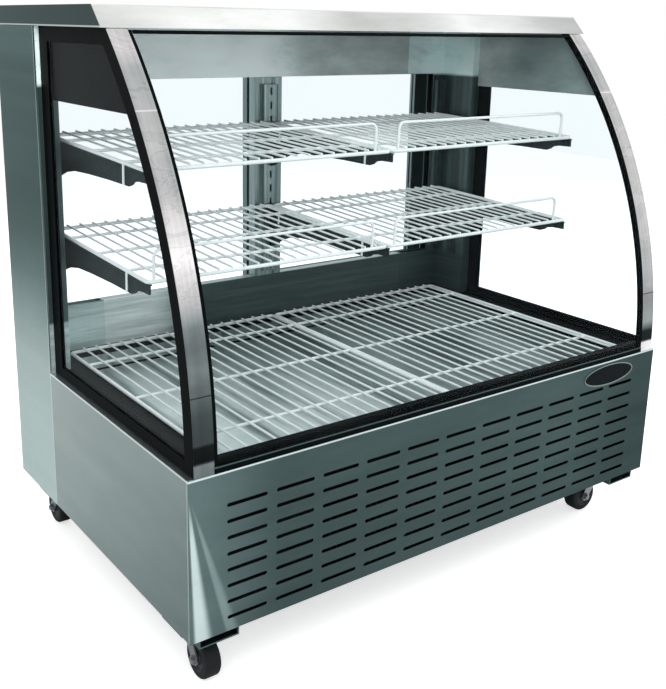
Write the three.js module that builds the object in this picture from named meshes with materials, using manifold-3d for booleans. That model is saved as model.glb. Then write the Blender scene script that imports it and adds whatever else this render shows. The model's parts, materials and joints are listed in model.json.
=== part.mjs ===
// Refrigerated deli display case with a curved front glass, built in millimetres with Z up.
// The origin lies on the floor below the middle of the case and the customer stands towards -Y.
import * as THREE from 'three';
import { mergeVertices } from 'three/addons/utils/BufferGeometryUtils.js';
import Module from 'manifold-3d';

const wasm = await Module();
wasm.setup();

// Driving dimensions
const caseWidth = 1220;
const caseDepth = 800;
const casterHeight = 120;
const baseHeight = 300;
const glassHeight = 700;
const capHeight = 38;
const archRadius = 1015;
const postDepth = 210;

// Fits and stock thicknesses
const clearance = 0.3;
const fitGap = 0.5;
const sheet = 2;
const flangeWidth = 24;
const paneThickness = 4;
const wireBar = 8;
const wireThin = 4.6;
const wireCross = 6.4;

// Levels and planes that the driving dimensions give
const halfWidth = caseWidth / 2;
const frontY = -caseDepth / 2;
const backY = caseDepth / 2;
const baseBottom = casterHeight;
const sill = baseBottom + baseHeight;
const capBottom = sill + glassHeight;
const capTop = capBottom + capHeight;
const underCap = capBottom - clearance;
const postFront = backY - postDepth;
const panelRear = postFront - clearance;
const innerWidth = halfWidth - flangeWidth;

// Plane of the rear wall, where the posts turn in and narrow the door opening
const returnReach = 172;
const returnSetback = 100;
const returnFront = backY - returnSetback;
const returnDepth = 25;
const openingHalf = halfWidth - returnReach - clearance;
const wallBack = returnFront + returnDepth;

// Curved front: every nested arc shares this centre line and these stations
const archInset = 1;
const archCentreY = frontY + archInset + archRadius;
const archSweep = Math.asin(glassHeight / archRadius);
const archSegments = 14;

const finishes = {
  panelSteel: { color: 0x8d9d9b, roughness: 0.34, metalness: 0.85 },
  brightSteel: { color: 0xc3cecc, roughness: 0.2, metalness: 0.9 },
  innerSteel: { color: 0x9fadab, roughness: 0.3, metalness: 0.85 },
  darkSteel: { color: 0x4b5957, roughness: 0.4, metalness: 0.7 },
  blackTrim: { color: 0x121617, roughness: 0.5, metalness: 0.05 },
  blackSteel: { color: 0x1a1e1f, roughness: 0.45, metalness: 0.4 },
  whiteWire: { color: 0xe9f1ef, roughness: 0.35, metalness: 0.05 },
  glass: { color: 0xdfeeea, roughness: 0.04, metalness: 0, transparent: true, opacity: 0.22 },
  zinc: { color: 0x9aa3a5, roughness: 0.35, metalness: 0.85 },
  rubber: { color: 0x2b2e30, roughness: 0.7, metalness: 0 },
  foam: { color: 0xd9dcd6, roughness: 0.8, metalness: 0 },
  aluminium: { color: 0xb9c0c1, roughness: 0.4, metalness: 0.8 },
  copper: { color: 0xb06a45, roughness: 0.35, metalness: 0.85 },
  lamp: { color: 0xf7faf8, roughness: 0.3, metalness: 0 },
};

const caseGroup = new THREE.Group();
caseGroup.name = 'deli_display_case';

function place(name, geometry, finish, position = [0, 0, 0], turn = 0) {
  const mesh = new THREE.Mesh(geometry, new THREE.MeshStandardMaterial(finishes[finish]));
  mesh.name = name;
  mesh.position.set(...position);
  mesh.rotation.z = turn;
  caseGroup.add(mesh);
  return mesh;
}

// Solid helpers
function solidOf(geometry) {
  const bare = geometry.clone();
  bare.deleteAttribute('normal');
  bare.deleteAttribute('uv');
  const welded = mergeVertices(bare);
  return new wasm.Manifold(new wasm.Mesh({
    numProp: 3,
    vertProperties: new Float32Array(welded.attributes.position.array),
    triVerts: new Uint32Array(welded.index.array),
  }));
}

function geometryOf(solid) {
  const mesh = solid.getMesh();
  const geometry = new THREE.BufferGeometry();
  geometry.setAttribute('position', new THREE.BufferAttribute(new Float32Array(mesh.vertProperties), 3));
  geometry.setIndex(new THREE.BufferAttribute(new Uint32Array(mesh.triVerts), 1));
  const faceted = geometry.toNonIndexed();
  faceted.computeVertexNormals();
  return faceted;
}

function fuse(...geometries) {
  return geometryOf(geometries.map(solidOf).reduce((all, next) => all.add(next)));
}

function cut(geometry, ...tools) {
  return geometryOf(tools.map(solidOf).reduce((rest, tool) => rest.subtract(tool), solidOf(geometry)));
}

// An outline drawn across one axis and extruded along it, from one coordinate to another
const alongX = new THREE.Matrix4().makeBasis(
  new THREE.Vector3(0, 1, 0), new THREE.Vector3(0, 0, 1), new THREE.Vector3(1, 0, 0));
const alongY = new THREE.Matrix4().makeBasis(
  new THREE.Vector3(1, 0, 0), new THREE.Vector3(0, 0, 1), new THREE.Vector3(0, -1, 0));

function prism(axis, outline, from, to, holes = []) {
  const pathOf = (points) => points.map(([a, b]) => new THREE.Vector2(a, b));
  const shape = new THREE.Shape(pathOf(outline));
  shape.holes = holes.map((hole) => new THREE.Path(pathOf(hole)));
  const geometry = new THREE.ExtrudeGeometry(shape, {
    depth: to - from,
    bevelEnabled: false,
    curveSegments: 1,
  });
  geometry.translate(0, 0, axis === 'y' ? -to : from);
  if (axis === 'x') geometry.applyMatrix4(alongX);
  if (axis === 'y') geometry.applyMatrix4(alongY);
  return geometry;
}

// A prism with openings that run right through it
function openPrism(axis, outline, from, to, openings) {
  return cut(prism(axis, outline, from, to),
    ...openings.map((opening) => prism(axis, opening, from - sheet, to + sheet)));
}

function block(x0, x1, y0, y1, z0, z1) {
  const geometry = new THREE.BoxGeometry(Math.abs(x1 - x0), Math.abs(y1 - y0), Math.abs(z1 - z0));
  geometry.translate((x0 + x1) / 2, (y0 + y1) / 2, (z0 + z1) / 2);
  return geometry;
}

function rod(axis, radius, length, centre, sides, endRadius = radius) {
  const geometry = new THREE.CylinderGeometry(endRadius, radius, length, sides);
  if (axis === 'x') geometry.rotateZ(-Math.PI / 2);
  if (axis === 'z') geometry.rotateX(Math.PI / 2);
  geometry.translate(...centre);
  return geometry;
}

function rectangle(a0, a1, b0, b1) {
  return [[a0, b0], [a1, b0], [a1, b1], [a0, b1]];
}

function arcPoints(centreA, centreB, radiusA, radiusB, fromTurn, toTurn, steps) {
  return Array.from({ length: steps + 1 }, (_, i) => {
    const angle = 2 * Math.PI * (fromTurn + (toTurn - fromTurn) * i / steps);
    return [centreA + radiusA * Math.cos(angle), centreB + radiusB * Math.sin(angle)];
  });
}

function roundedRectangle(a0, a1, b0, b1, radius, steps) {
  return [
    ...arcPoints(a1 - radius, b0 + radius, radius, radius, -1 / 4, 0, steps),
    ...arcPoints(a1 - radius, b1 - radius, radius, radius, 0, 1 / 4, steps),
    ...arcPoints(a0 + radius, b1 - radius, radius, radius, 1 / 4, 1 / 2, steps),
    ...arcPoints(a0 + radius, b0 + radius, radius, radius, 1 / 2, 3 / 4, steps),
  ];
}

function slotOutline(centreA, centreB, length, width, steps) {
  const end = width / 2;
  const reach = length / 2 - end;
  return [
    ...arcPoints(centreA + reach, centreB, end, end, -1 / 4, 1 / 4, steps),
    ...arcPoints(centreA - reach, centreB, end, end, 1 / 4, 3 / 4, steps),
  ];
}

function ellipse(centreA, centreB, radiusA, radiusB, steps) {
  return arcPoints(centreA, centreB, radiusA, radiusB, 0, 1, steps).slice(0, -1);
}

// Points on the curved front, in Y and Z, between two heights
function archPoint(radius, height) {
  return [archCentreY - Math.sqrt(radius ** 2 - (height - sill) ** 2), height];
}

function archLine(radius, low, high) {
  const stations = Array.from({ length: archSegments + 1 },
    (_, i) => sill + radius * Math.sin(archSweep * i / archSegments));
  const between = stations.filter((height) => height > low + sheet && height < high - sheet);
  return [low, ...between, high].map((height) => archPoint(radius, height));
}

function archBand(radius, thickness, low, high) {
  return [...archLine(radius, low, high), ...archLine(radius - thickness, low, high).reverse()];
}

function archPanel(radius, low, high, rearY) {
  return [...archLine(radius, low, high), [rearY, high], [rearY, low]];
}

// Chassis: a floor plate with an upstand for the base panels, on two rails with caster plates
const chassisInset = 8;
const chassisUpstand = 20;
const railWidth = 80;
const railDepth = 22;
const railWall = 3;
const railEndInset = 10;
const casterInsetX = 62;
const casterInsetY = 98;
const postWidth = 45;
const floorTop = baseBottom - clearance;
const floorBottom = floorTop - sheet;
const railBottom = baseBottom - railDepth;
const casterX = halfWidth - casterInsetX;
const casterY = backY - casterInsetY;
const narrowWidth = halfWidth - postWidth - clearance;
const wideWidth = innerWidth - clearance;
const frameFront = frontY + flangeWidth + clearance;

// The plan outline that keeps clear of the two rear posts
function notchedOutline(front, back, inset) {
  const wide = wideWidth - inset;
  const narrow = narrowWidth - inset;
  const notch = panelRear - inset;
  return [
    [-wide, front + inset], [wide, front + inset], [wide, notch], [narrow, notch],
    [narrow, back - inset], [-narrow, back - inset], [-narrow, notch], [-wide, notch],
  ];
}

const rearPanelInset = 13;
const rearPanelY = backY - rearPanelInset;

function chassis() {
  const width = halfWidth - chassisInset;
  const depth = backY - chassisInset;
  const rearEdge = rearPanelY - sheet - clearance;
  const upstand = cut(
    prism('z', notchedOutline(frameFront, rearEdge, 0), floorBottom, baseBottom + chassisUpstand),
    prism('z', notchedOutline(frameFront, rearEdge, sheet), floorBottom - sheet, baseBottom + flangeWidth),
    block(-halfWidth, halfWidth, returnFront - sheet, wallBack + sheet, floorTop, baseBottom + flangeWidth));
  const rails = [-1, 1].map((side) => {
    const left = side * casterX - railWidth / 2;
    const right = side * casterX + railWidth / 2;
    return openPrism('y', rectangle(left, right, railBottom, floorBottom + sheet / 2),
      frontY + railEndInset, backY - railEndInset,
      [rectangle(left + railWall, right - railWall, railBottom + railWall, floorBottom - railWall)]);
  });
  const plates = casters.map(({ side, end }) => casterPlate().translate(side * casterX, end * casterY, 0));
  return fuse(block(-width, width, -depth, depth, floorBottom, floorTop), upstand, ...rails, ...plates);
}

// Swivel casters with captive king pins
const wheelRadius = 38;
const wheelWidth = 32;
const wheelRound = 5;
const casterTrail = 33;
const plateLength = 92;
const plateBreadth = 76;
const plateThickness = 4;
const raceRadius = 25;
const raceHeight = 7;
const pinRadius = 6;
const swivelFit = 0.5;
const pinHeadRadius = 10;
const pinHeadHeight = 4;
const crownThickness = 3;
const crownRadius = 24;
const legThickness = 3;
const legGap = 1.5;
const axleRadius = 5;
const wheelBore = axleRadius + clearance;
const bossRadius = 12;
const boltRadius = 9;
const boltHeight = 4;
const roundSides = 16;
const boreSides = 12;
const smallSides = 6;
const legArcSteps = 4;
const raceBottom = railBottom - plateThickness - raceHeight;
const crownTop = raceBottom - clearance;
const crownBottom = crownTop - crownThickness;
const pinHeadTop = crownBottom - clearance;
const legInner = wheelWidth / 2 + legGap;
const legOuter = legInner + legThickness;

function casterPlate() {
  const plate = block(-plateLength / 2, plateLength / 2, -plateBreadth / 2, plateBreadth / 2,
    railBottom - plateThickness, railBottom + sheet / 2);
  const race = rod('z', raceRadius, raceHeight + sheet,
    [0, 0, raceBottom + (raceHeight + sheet) / 2], boreSides);
  const pinLength = raceBottom - pinHeadTop + sheet;
  const pin = rod('z', pinRadius, pinLength + sheet, [0, 0, pinHeadTop + pinLength / 2], smallSides);
  const head = rod('z', pinHeadRadius, pinHeadHeight, [0, 0, pinHeadTop - pinHeadHeight / 2], smallSides);
  return fuse(plate, race, pin, head);
}

// The fork trails towards its own +X; its origin is the swivel axis at floor level
function casterFork() {
  const crown = cut(
    prism('z', [
      [casterTrail / 2, -legOuter], [casterTrail, -legOuter / 2], [casterTrail, legOuter / 2],
      [casterTrail / 2, legOuter], ...arcPoints(0, 0, crownRadius, legOuter, 1 / 4, 3 / 4, roundSides / 4),
    ], crownBottom, crownTop),
    rod('z', pinRadius + swivelFit, 4 * crownThickness, [0, 0, crownTop], boreSides));
  const legOutline = [
    [-casterTrail / 3, crownBottom + sheet / 2], [casterTrail / 2, crownBottom + sheet / 2],
    ...arcPoints(casterTrail, wheelRadius, bossRadius, bossRadius, 1 / 8, -1 / 2, legArcSteps),
  ];
  const legs = [-1, 1].map((side) => prism('y', legOutline, side > 0 ? legInner : -legOuter,
    side > 0 ? legOuter : -legInner));
  const axle = rod('y', axleRadius, 2 * legOuter, [casterTrail, 0, wheelRadius], smallSides);
  const bolts = [-1, 1].map((side) => rod('y', boltRadius, boltHeight + legThickness,
    [casterTrail, side * (legInner + (boltHeight + legThickness) / 2), wheelRadius], smallSides));
  return fuse(crown, ...legs, axle, ...bolts);
}

function casterWheel() {
  const half = wheelWidth / 2;
  const profile = [
    [wheelBore, -half], [wheelRadius - wheelRound, -half], [wheelRadius, wheelRound - half],
    [wheelRadius, half - wheelRound], [wheelRadius - wheelRound, half], [wheelBore, half], [wheelBore, -half],
  ];
  return new THREE.LatheGeometry(profile.map(([r, h]) => new THREE.Vector2(r, h)), roundSides);
}

const casters = [
  { name: 'front_left', side: -1, end: -1, turn: -Math.PI / 2 },
  { name: 'back_left', side: -1, end: 1, turn: Math.PI / 2 },
  { name: 'front_right', side: 1, end: -1, turn: Math.PI },
  { name: 'back_right', side: 1, end: 1, turn: Math.PI },
];

place('chassis', chassis(), 'blackSteel');
for (const { name, side, end, turn } of casters) {
  const axleX = side * casterX + casterTrail * Math.cos(turn);
  const axleY = end * casterY + casterTrail * Math.sin(turn);
  place(`${name}_fork`, casterFork(), 'zinc', [side * casterX, end * casterY, 0], turn);
  place(`${name}_wheel`, casterWheel(), 'rubber', [axleX, axleY, wheelRadius], turn);
}

// Base panels
const badgeProud = 1.5;
const grilleFace = frontY + badgeProud;
const grilleBack = grilleFace + sheet;

function sidePanel(side) {
  const outline = [
    [halfWidth, baseBottom], [innerWidth, baseBottom], [innerWidth, baseBottom + sheet],
    [halfWidth - sheet, baseBottom + sheet], [halfWidth - sheet, sill - sheet],
    [innerWidth, sill - sheet], [innerWidth, sill], [halfWidth, sill],
  ].map(([x, z]) => [side * x, z]);
  return prism('y', outline, grilleBack + clearance, panelRear);
}

place('left_base_panel', sidePanel(-1), 'panelSteel');
place('right_base_panel', sidePanel(1), 'panelSteel');

// Front grille with its field of louvre slots
const slotColumns = 11;
const slotRows = 8;
const slotSideInset = 113.5;
const slotBridge = 19.3;
const slotHeight = 6.5;
const topRowDrop = 62.5;
const bottomRowRise = 26.1;
const slotPitchX = (caseWidth - 2 * slotSideInset) / (slotColumns - 1);
const slotPitchZ = (baseHeight - topRowDrop - bottomRowRise) / (slotRows - 1);
const slotLength = slotPitchX - slotBridge;

function grilleSlots() {
  const slots = [];
  for (let row = 0; row < slotRows; row += 1) {
    for (let column = 0; column < slotColumns; column += 1) {
      const x = (column - (slotColumns - 1) / 2) * slotPitchX;
      const z = sill - topRowDrop - row * slotPitchZ;
      slots.push(slotOutline(x, z, slotLength, slotHeight, 2));
    }
  }
  return slots;
}

function frontGrille() {
  const flangeBack = frontY + flangeWidth;
  return fuse(
    openPrism('y', rectangle(-halfWidth, halfWidth, baseBottom, sill), grilleFace, grilleBack, grilleSlots()),
    block(-wideWidth, wideWidth, grilleFace, flangeBack, sill - sheet, sill),
    block(-wideWidth, wideWidth, grilleFace, flangeBack, baseBottom, baseBottom + sheet));
}

place('front_grille', frontGrille(), 'panelSteel');

// Blank oval badge with a raised rim
const badgeInset = 159;
const badgeDrop = 31.5;
const badgeLength = 166;
const badgeHeight = 48;
const badgeRim = 3;
const badgeRecess = 0.5;
const badgeSides = 24;
const badgeX = halfWidth - badgeInset;

function badge() {
  const z = sill - badgeDrop;
  const plate = prism('y', ellipse(badgeX, z, badgeLength / 2, badgeHeight / 2, badgeSides),
    frontY, grilleFace - clearance);
  const recess = prism('y', ellipse(badgeX, z, badgeLength / 2 - badgeRim, badgeHeight / 2 - badgeRim,
    badgeSides), frontY - badgeRecess, frontY + badgeRecess);
  return cut(plate, recess);
}

place('badge', badge(), 'blackTrim');

// Rear base panel with vents and the control cut-outs
const ventRows = 6;
const ventColumns = 2;
const ventBridge = 40;
const ventWidth = 8;
const ventPitchZ = 26;
const ventRise = 40;
const ventPitchShare = 0.53;
const ventShiftShare = 0.106;
const controlInset = 140;
const controlDrop = 80;
const switchDrop = 70;
const switchWindowX = 24;
const switchWindowZ = 32;
const shaftRadius = 4;
const shaftFit = 0.6;
const shaftHole = shaftRadius + shaftFit;
const controlX = controlInset - halfWidth;
const controlZ = sill - controlDrop;
const rearPanelTop = sill - clearance;

function rearBasePanel() {
  const vents = [];
  const pitch = narrowWidth * ventPitchShare;
  for (let row = 0; row < ventRows; row += 1) {
    for (let column = 0; column < ventColumns; column += 1) {
      const x = narrowWidth * ventShiftShare + (column - (ventColumns - 1) / 2) * pitch;
      const z = baseBottom + ventRise + row * ventPitchZ;
      vents.push(slotOutline(x, z, pitch - ventBridge, ventWidth, 2));
    }
  }
  const window = rectangle(controlX - switchWindowX / 2, controlX + switchWindowX / 2,
    controlZ - switchDrop - switchWindowZ / 2, controlZ - switchDrop + switchWindowZ / 2);
  const shaft = ellipse(controlX, controlZ, shaftHole, shaftHole, boreSides);
  return fuse(
    openPrism('y', rectangle(-narrowWidth, narrowWidth, baseBottom, rearPanelTop),
      rearPanelY - sheet, rearPanelY, [...vents, window, shaft]),
    block(-narrowWidth, narrowWidth, rearPanelY - flangeWidth, rearPanelY,
      rearPanelTop - sheet, rearPanelTop));
}

place('rear_base_panel', rearBasePanel(), 'panelSteel');

// Controls behind the rear panel
const controlBoxWidth = 110;
const controlBoxHeight = 170;
const controlBoxDepth = 55;
const controlBoxRise = 45;
const knobRadius = 20;
const knobGap = 0.4;
const knobDepth = 11.5;
const knobGrip = 6;
const rockerWidth = 18;
const rockerHeight = 24;
const rockerDepth = 9;
const rockerTilt = Math.PI / 15;
const rockerY = rearPanelY - sheet / 2;
const controlBack = rearPanelY - sheet - clearance;
const controlFront = controlBack - controlBoxDepth;

function controlBox() {
  const top = controlZ + controlBoxRise;
  const bottom = top - controlBoxHeight;
  const left = controlX - controlBoxWidth / 2;
  const right = controlX + controlBoxWidth / 2;
  const switchZ = controlZ - switchDrop;
  return cut(block(left, right, controlFront, controlBack, bottom, top),
    block(left + sheet, right - sheet, controlFront - sheet, controlBack - sheet,
      bottom + sheet, top - sheet),
    rod('y', shaftHole, controlBoxDepth, [controlX, controlBack, controlZ], boreSides),
    block(controlX - switchWindowX / 2, controlX + switchWindowX / 2, controlBack - flangeWidth,
      controlBack + sheet, switchZ - switchWindowZ / 2, switchZ + switchWindowZ / 2));
}

function thermostatKnob() {
  const face = rearPanelY + knobGap;
  const shaftEnd = controlBack - flangeWidth;
  return fuse(
    rod('y', knobRadius, knobDepth / 2, [0, face + knobDepth / 4, 0], roundSides),
    block(-knobGrip / 2, knobGrip / 2, face + knobDepth / 4, face + knobDepth,
      -knobRadius * Math.cos(Math.PI / 8), knobRadius * Math.cos(Math.PI / 8)),
    rod('y', shaftRadius, face - shaftEnd + sheet, [0, (face + shaftEnd + sheet) / 2, 0], smallSides));
}

function powerSwitch() {
  const outline = [
    [-rockerDepth, -rockerHeight / 3], [-rockerDepth, rockerHeight / 3], [rockerDepth / 3, rockerHeight / 2],
    [rockerDepth / 6, 0], [rockerDepth / 3, -rockerHeight / 2],
  ];
  const trunnions = rod('x', sheet / 2, switchWindowX - 2 * clearance, [0, 0, 0], smallSides);
  return fuse(prism('x', outline, -rockerWidth / 2, rockerWidth / 2), trunnions).rotateX(-rockerTilt);
}

place('control_box', controlBox(), 'blackTrim');
place('thermostat_knob', thermostatKnob(), 'blackTrim', [controlX, 0, controlZ]);
place('power_switch', powerSwitch(), 'rubber', [controlX, rockerY, controlZ - switchDrop]);

// Black sill frame that carries the glass: a front rail with a lip behind the pane, and two side bars
const sillInset = 12;
const stripWidth = 38;
const trimThickness = 3;
const trimLeg = 12;
const sillRailHeight = 11;
const sillLipHeight = 22;
const sillBarHeight = 8;
const sillBarWidth = 12;
const glassThickness = 6;
const ringOuter = halfWidth - sillInset;
const stripInner = ringOuter - stripWidth;
const sillBase = sill + clearance;
const sillRailTop = sill + sillRailHeight;
const ringRadius = archRadius - trimThickness - fitGap;
const glassRadius = archRadius - fitGap;
const frontRailBack = frontY + flangeWidth;

function sillTrim() {
  const railWide = stripInner - clearance;
  const legClear = frontY + archInset + trimThickness + trimLeg + fitGap;
  const lipFront = frontY + archInset + fitGap + glassThickness + fitGap;
  const bars = [-1, 1].map((side) => block(side * (ringOuter - sillBarWidth), side * ringOuter,
    frontY + archInset + trimThickness + fitGap, panelRear, sillBase, sill + sillBarHeight));
  return fuse(
    block(-railWide, railWide, frontY + clearance, frontRailBack, sillBase, sillRailTop),
    block(-railWide, railWide, lipFront, frontRailBack, sillBase, sill + sillLipHeight),
    block(-ringOuter, ringOuter, legClear, frontRailBack, sillBase, sillRailTop - trimThickness),
    ...bars, glassSeal(-1), glassSeal(1));
}

// Curved glazing: polished edge trims, seals, the bent front pane and the side panes in their frames
const ringThickness = 8;
const ringBand = 28;
const ringFoot = 14;
const ringStile = 38;
const rebate = 8;
const sealWidth = 6;
const paneFit = 0.2;
const ringBottom = sill + sillBarHeight + clearance;
const glassBottom = sillRailTop + clearance;
const glassTop = capBottom - trimThickness;
const paneOuter = ringOuter - sheet - paneFit;

function archTrim(side) {
  const low = sillBase;
  const face = prism('x', archBand(archRadius, trimThickness, low, underCap),
    side > 0 ? stripInner : -ringOuter, side > 0 ? ringOuter : -stripInner);
  const legOuterX = stripInner + sheet;
  const leg = prism('x', archBand(archRadius, trimThickness + trimLeg, low, underCap),
    side > 0 ? stripInner : -legOuterX, side > 0 ? legOuterX : -stripInner);
  return fuse(face, leg);
}

function glassSeal(side) {
  const outer = stripInner - clearance;
  const inner = outer - sealWidth;
  return prism('x', archBand(glassRadius, glassThickness, sillRailTop - trimThickness, glassTop),
    side > 0 ? inner : -outer, side > 0 ? outer : -inner);
}

function sidePane(side, margin) {
  const opening = archPanel(ringRadius - ringBand + rebate + margin, ringBottom + ringFoot - rebate - margin,
    underCap - ringBand + rebate + margin, panelRear - ringStile + rebate + margin);
  const outer = paneOuter + margin;
  const inner = paneOuter - paneThickness - margin;
  return prism('x', opening, side > 0 ? inner : -outer, side > 0 ? outer : -inner);
}

function glassFrame(side) {
  const inner = ringOuter - ringThickness;
  const frame = openPrism('x', archPanel(ringRadius, ringBottom, underCap, panelRear),
    side > 0 ? inner : -ringOuter, side > 0 ? ringOuter : -inner,
    [archPanel(ringRadius - ringBand, ringBottom + ringFoot, underCap - ringBand, panelRear - ringStile)]);
  return cut(frame, sidePane(side, clearance));
}

const glassWide = stripInner - sealWidth - 2 * clearance;
place('sill_trim', sillTrim(), 'blackTrim');
place('left_arch_trim', archTrim(-1), 'brightSteel');
place('right_arch_trim', archTrim(1), 'brightSteel');
place('front_glass', prism('x', archBand(glassRadius, glassThickness, glassBottom, glassTop),
  -glassWide, glassWide), 'glass');
place('left_glass_frame', glassFrame(-1), 'blackTrim');
place('right_glass_frame', glassFrame(1), 'blackTrim');
place('left_side_glass', sidePane(-1, 0), 'glass');
place('right_side_glass', sidePane(1, 0), 'glass');

// Rear wall
const sillPanelDrop = 15;
const sillPanelRise = 105;
const sillLedgeRise = 45;
const sillPanelTop = sill + sillPanelRise;
const sillLedgeTop = sill + sillLedgeRise;

// Slotted shelf standards, welded to the posts and the mullion
const standardDepth = 12;
const sideStandardWidth = 30;
const midStandardWidth = 40;
const standardRise = 14;
const slotStep = 33;
const slotCount = 14;
const slotWidth = 5;
const slotTall = 17;
const hookDrop = 20;
const levelSteps = 6;
const slotsBelow = 4;
const lowerShelfRise = 262;
const shelfSetback = 240;
const shelfRearGap = 3;
const shelfTilt = 0.0384;
const sideStandardX = halfWidth - postWidth - fitGap - sideStandardWidth / 2;
const lowerShelfFront = sill + lowerShelfRise;
const shelfFront = frontY + shelfSetback;
const standardFront = returnFront - standardDepth;
const shelfRearY = standardFront - shelfRearGap;
const shelfDepth = shelfRearY - shelfFront;
const bracketRearY = standardFront - clearance;
const bracketLength = bracketRearY - shelfFront - sheet / 2;
const shelfLevels = { lower: lowerShelfFront, upper: lowerShelfFront + levelSteps * slotStep };
const rearRise = shelfDepth * shelfTilt;
const lowestSlot = lowerShelfFront + rearRise - hookDrop - slotsBelow * slotStep;

function shelfStandard(centreX, width) {
  const low = sillPanelTop + standardRise;
  const high = lowestSlot + (slotCount - 1 / 2) * slotStep;
  const slots = Array.from({ length: slotCount }, (_, i) => {
    const z = lowestSlot + i * slotStep;
    return block(centreX - slotWidth / 2, centreX + slotWidth / 2,
      standardFront - sheet, standardFront + 2 * sheet, z - slotTall / 2, z + slotTall / 2);
  });
  const left = centreX - width / 2;
  const right = centreX + width / 2;
  const rear = returnFront + sheet / 2;
  return cut(block(left, right, standardFront, rear, low, high),
    block(left + sheet, right - sheet, standardFront + sheet, rear + sheet, low - sheet, high + sheet),
    ...slots);
}

// Rear posts: folded sheet with a return that narrows the door opening
function rearPost(side) {
  const outline = (inset) => [
    [halfWidth - inset, postFront + inset], [halfWidth - postWidth + inset, postFront + inset],
    [halfWidth - postWidth + inset, returnFront + inset],
    [halfWidth - returnReach + inset, returnFront + inset],
    [halfWidth - returnReach + inset, wallBack - inset],
    [halfWidth - postWidth + inset, wallBack - inset],
    [halfWidth - postWidth + inset, backY - inset], [halfWidth - inset, backY - inset],
  ].map(([x, y]) => [side * x, y]);
  return fuse(openPrism('z', outline(0), baseBottom, underCap, [outline(sheet)]),
    shelfStandard(side * sideStandardX, sideStandardWidth));
}

place('left_rear_post', rearPost(-1), 'panelSteel');
place('right_rear_post', rearPost(1), 'panelSteel');

// Rear sill and header with their door channels, and the mullion
const headerFrontDrop = 111;
const headerLedgeDrop = 50;
const mullionHalf = 38;
const headerBottom = capBottom - headerFrontDrop;
const headerLedge = capBottom - headerLedgeDrop;

function rearSillPanel() {
  return cut(
    fuse(
      block(-openingHalf, openingHalf, returnFront, wallBack + sheet, sill - sillPanelDrop, sillPanelTop),
      block(-narrowWidth, narrowWidth, wallBack + clearance, backY, sill, sillLedgeTop)),
    block(-openingHalf + sheet, openingHalf - sheet, returnFront + sheet, wallBack + clearance - sheet,
      sill - sillPanelDrop - sheet, sillPanelTop - sheet),
    block(-narrowWidth + sheet, narrowWidth - sheet, wallBack + clearance + sheet, backY - sheet,
      sill - sheet, sillLedgeTop - sheet));
}

function rearHeader() {
  return cut(
    fuse(
      block(-openingHalf, openingHalf, returnFront, wallBack + sheet, headerBottom, underCap),
      block(-narrowWidth, narrowWidth, wallBack + clearance, backY, headerLedge, underCap)),
    block(-openingHalf + sheet, openingHalf - sheet, returnFront + sheet, wallBack + clearance - sheet,
      headerBottom + sheet, capTop),
    block(-narrowWidth + sheet, narrowWidth - sheet, wallBack + clearance + sheet, backY - sheet,
      headerLedge + sheet, capTop));
}

function centreMullion() {
  const tube = openPrism('z', rectangle(-mullionHalf, mullionHalf, returnFront, wallBack),
    sillPanelTop + clearance, headerBottom - clearance,
    [rectangle(-mullionHalf + sheet, mullionHalf - sheet, returnFront + sheet, wallBack - sheet)]);
  return fuse(tube, shelfStandard(0, midStandardWidth));
}

// Sliding door channels and doors
const trackBase = 3.7;
const trackRib = 12;
const ribWidth = 3;
const doorDepth = 20;
const doorGap = 9;
const doorSetback = 8;
const doorEndGap = 1.7;
const stile = 44;
const doorLift = 5;
const doorDrop = 10;
const doorRebate = 6;
const pullLength = 120;
const pullWidth = 22;
const pullDepth = 12;
const trackFront = wallBack + doorGap - ribWidth - sheet;
const doorReach = narrowWidth - doorEndGap;
const doorOverlap = stile / 2;
const innerDoorY = wallBack + doorSetback;
const outerDoorY = innerDoorY + doorDepth + doorGap;
const trackBack = outerDoorY + doorDepth + ribWidth + sheet;
const lowerTrack = sillLedgeTop - sheet / 2;
const upperTrack = headerLedge + sheet / 2;
const doorBottom = lowerTrack + trackBase + clearance;
const doorTop = upperTrack - trackBase - doorDrop + doorLift;

function doorTrack(level, direction) {
  const wide = narrowWidth - clearance;
  const base = level + direction * trackBase;
  const tip = base + direction * trackRib;
  const middle = innerDoorY + doorDepth + (doorGap - ribWidth) / 2;
  const outline = [
    [trackFront, level], [trackBack, level], [trackBack, tip], [trackBack - ribWidth, tip],
    [trackBack - ribWidth, base], [middle + ribWidth, base], [middle + ribWidth, tip], [middle, tip],
    [middle, base], [trackFront + ribWidth, base], [trackFront + ribWidth, tip], [trackFront, tip],
  ];
  return prism('x', outline, -wide, wide);
}

place('rear_sill_panel', fuse(rearSillPanel(), doorTrack(lowerTrack, 1)), 'innerSteel');
place('rear_header', fuse(rearHeader(), doorTrack(upperTrack, -1)), 'innerSteel');
place('centre_mullion', centreMullion(), 'darkSteel');

// Shelf brackets: an S-shaped web under a narrow flange, hooked into the standards
const webThickness = 4;
const bracketFlange = 10;
const bracketDepth = 98;
const hookSteps = 2;
const hookHalf = 5;
const hookReach = 5;
const hookLip = 3;
const webProfileShares = [
  [0, 1], [0.03, 0.97], [0.07, 0.87], [0.12, 0.73], [0.19, 0.6], [0.29, 0.5], [0.45, 0.44],
  [0.65, 0.39], [0.78, 0.37], [0.84, 0.36], [0.87, 0.31], [0.89, 0.24], [0.93, 0.2], [1, 0.18],
];

function hookOutline(height) {
  const wallBackY = bracketRearY + clearance + sheet + clearance;
  const tip = bracketRearY + hookReach + sheet / 2;
  return [
    [bracketRearY, height - hookHalf], [wallBackY, height - hookHalf],
    [wallBackY, height - hookHalf - hookLip], [tip, height - hookHalf - hookLip],
    [tip, height + hookHalf], [bracketRearY, height + hookHalf],
  ];
}

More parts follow.
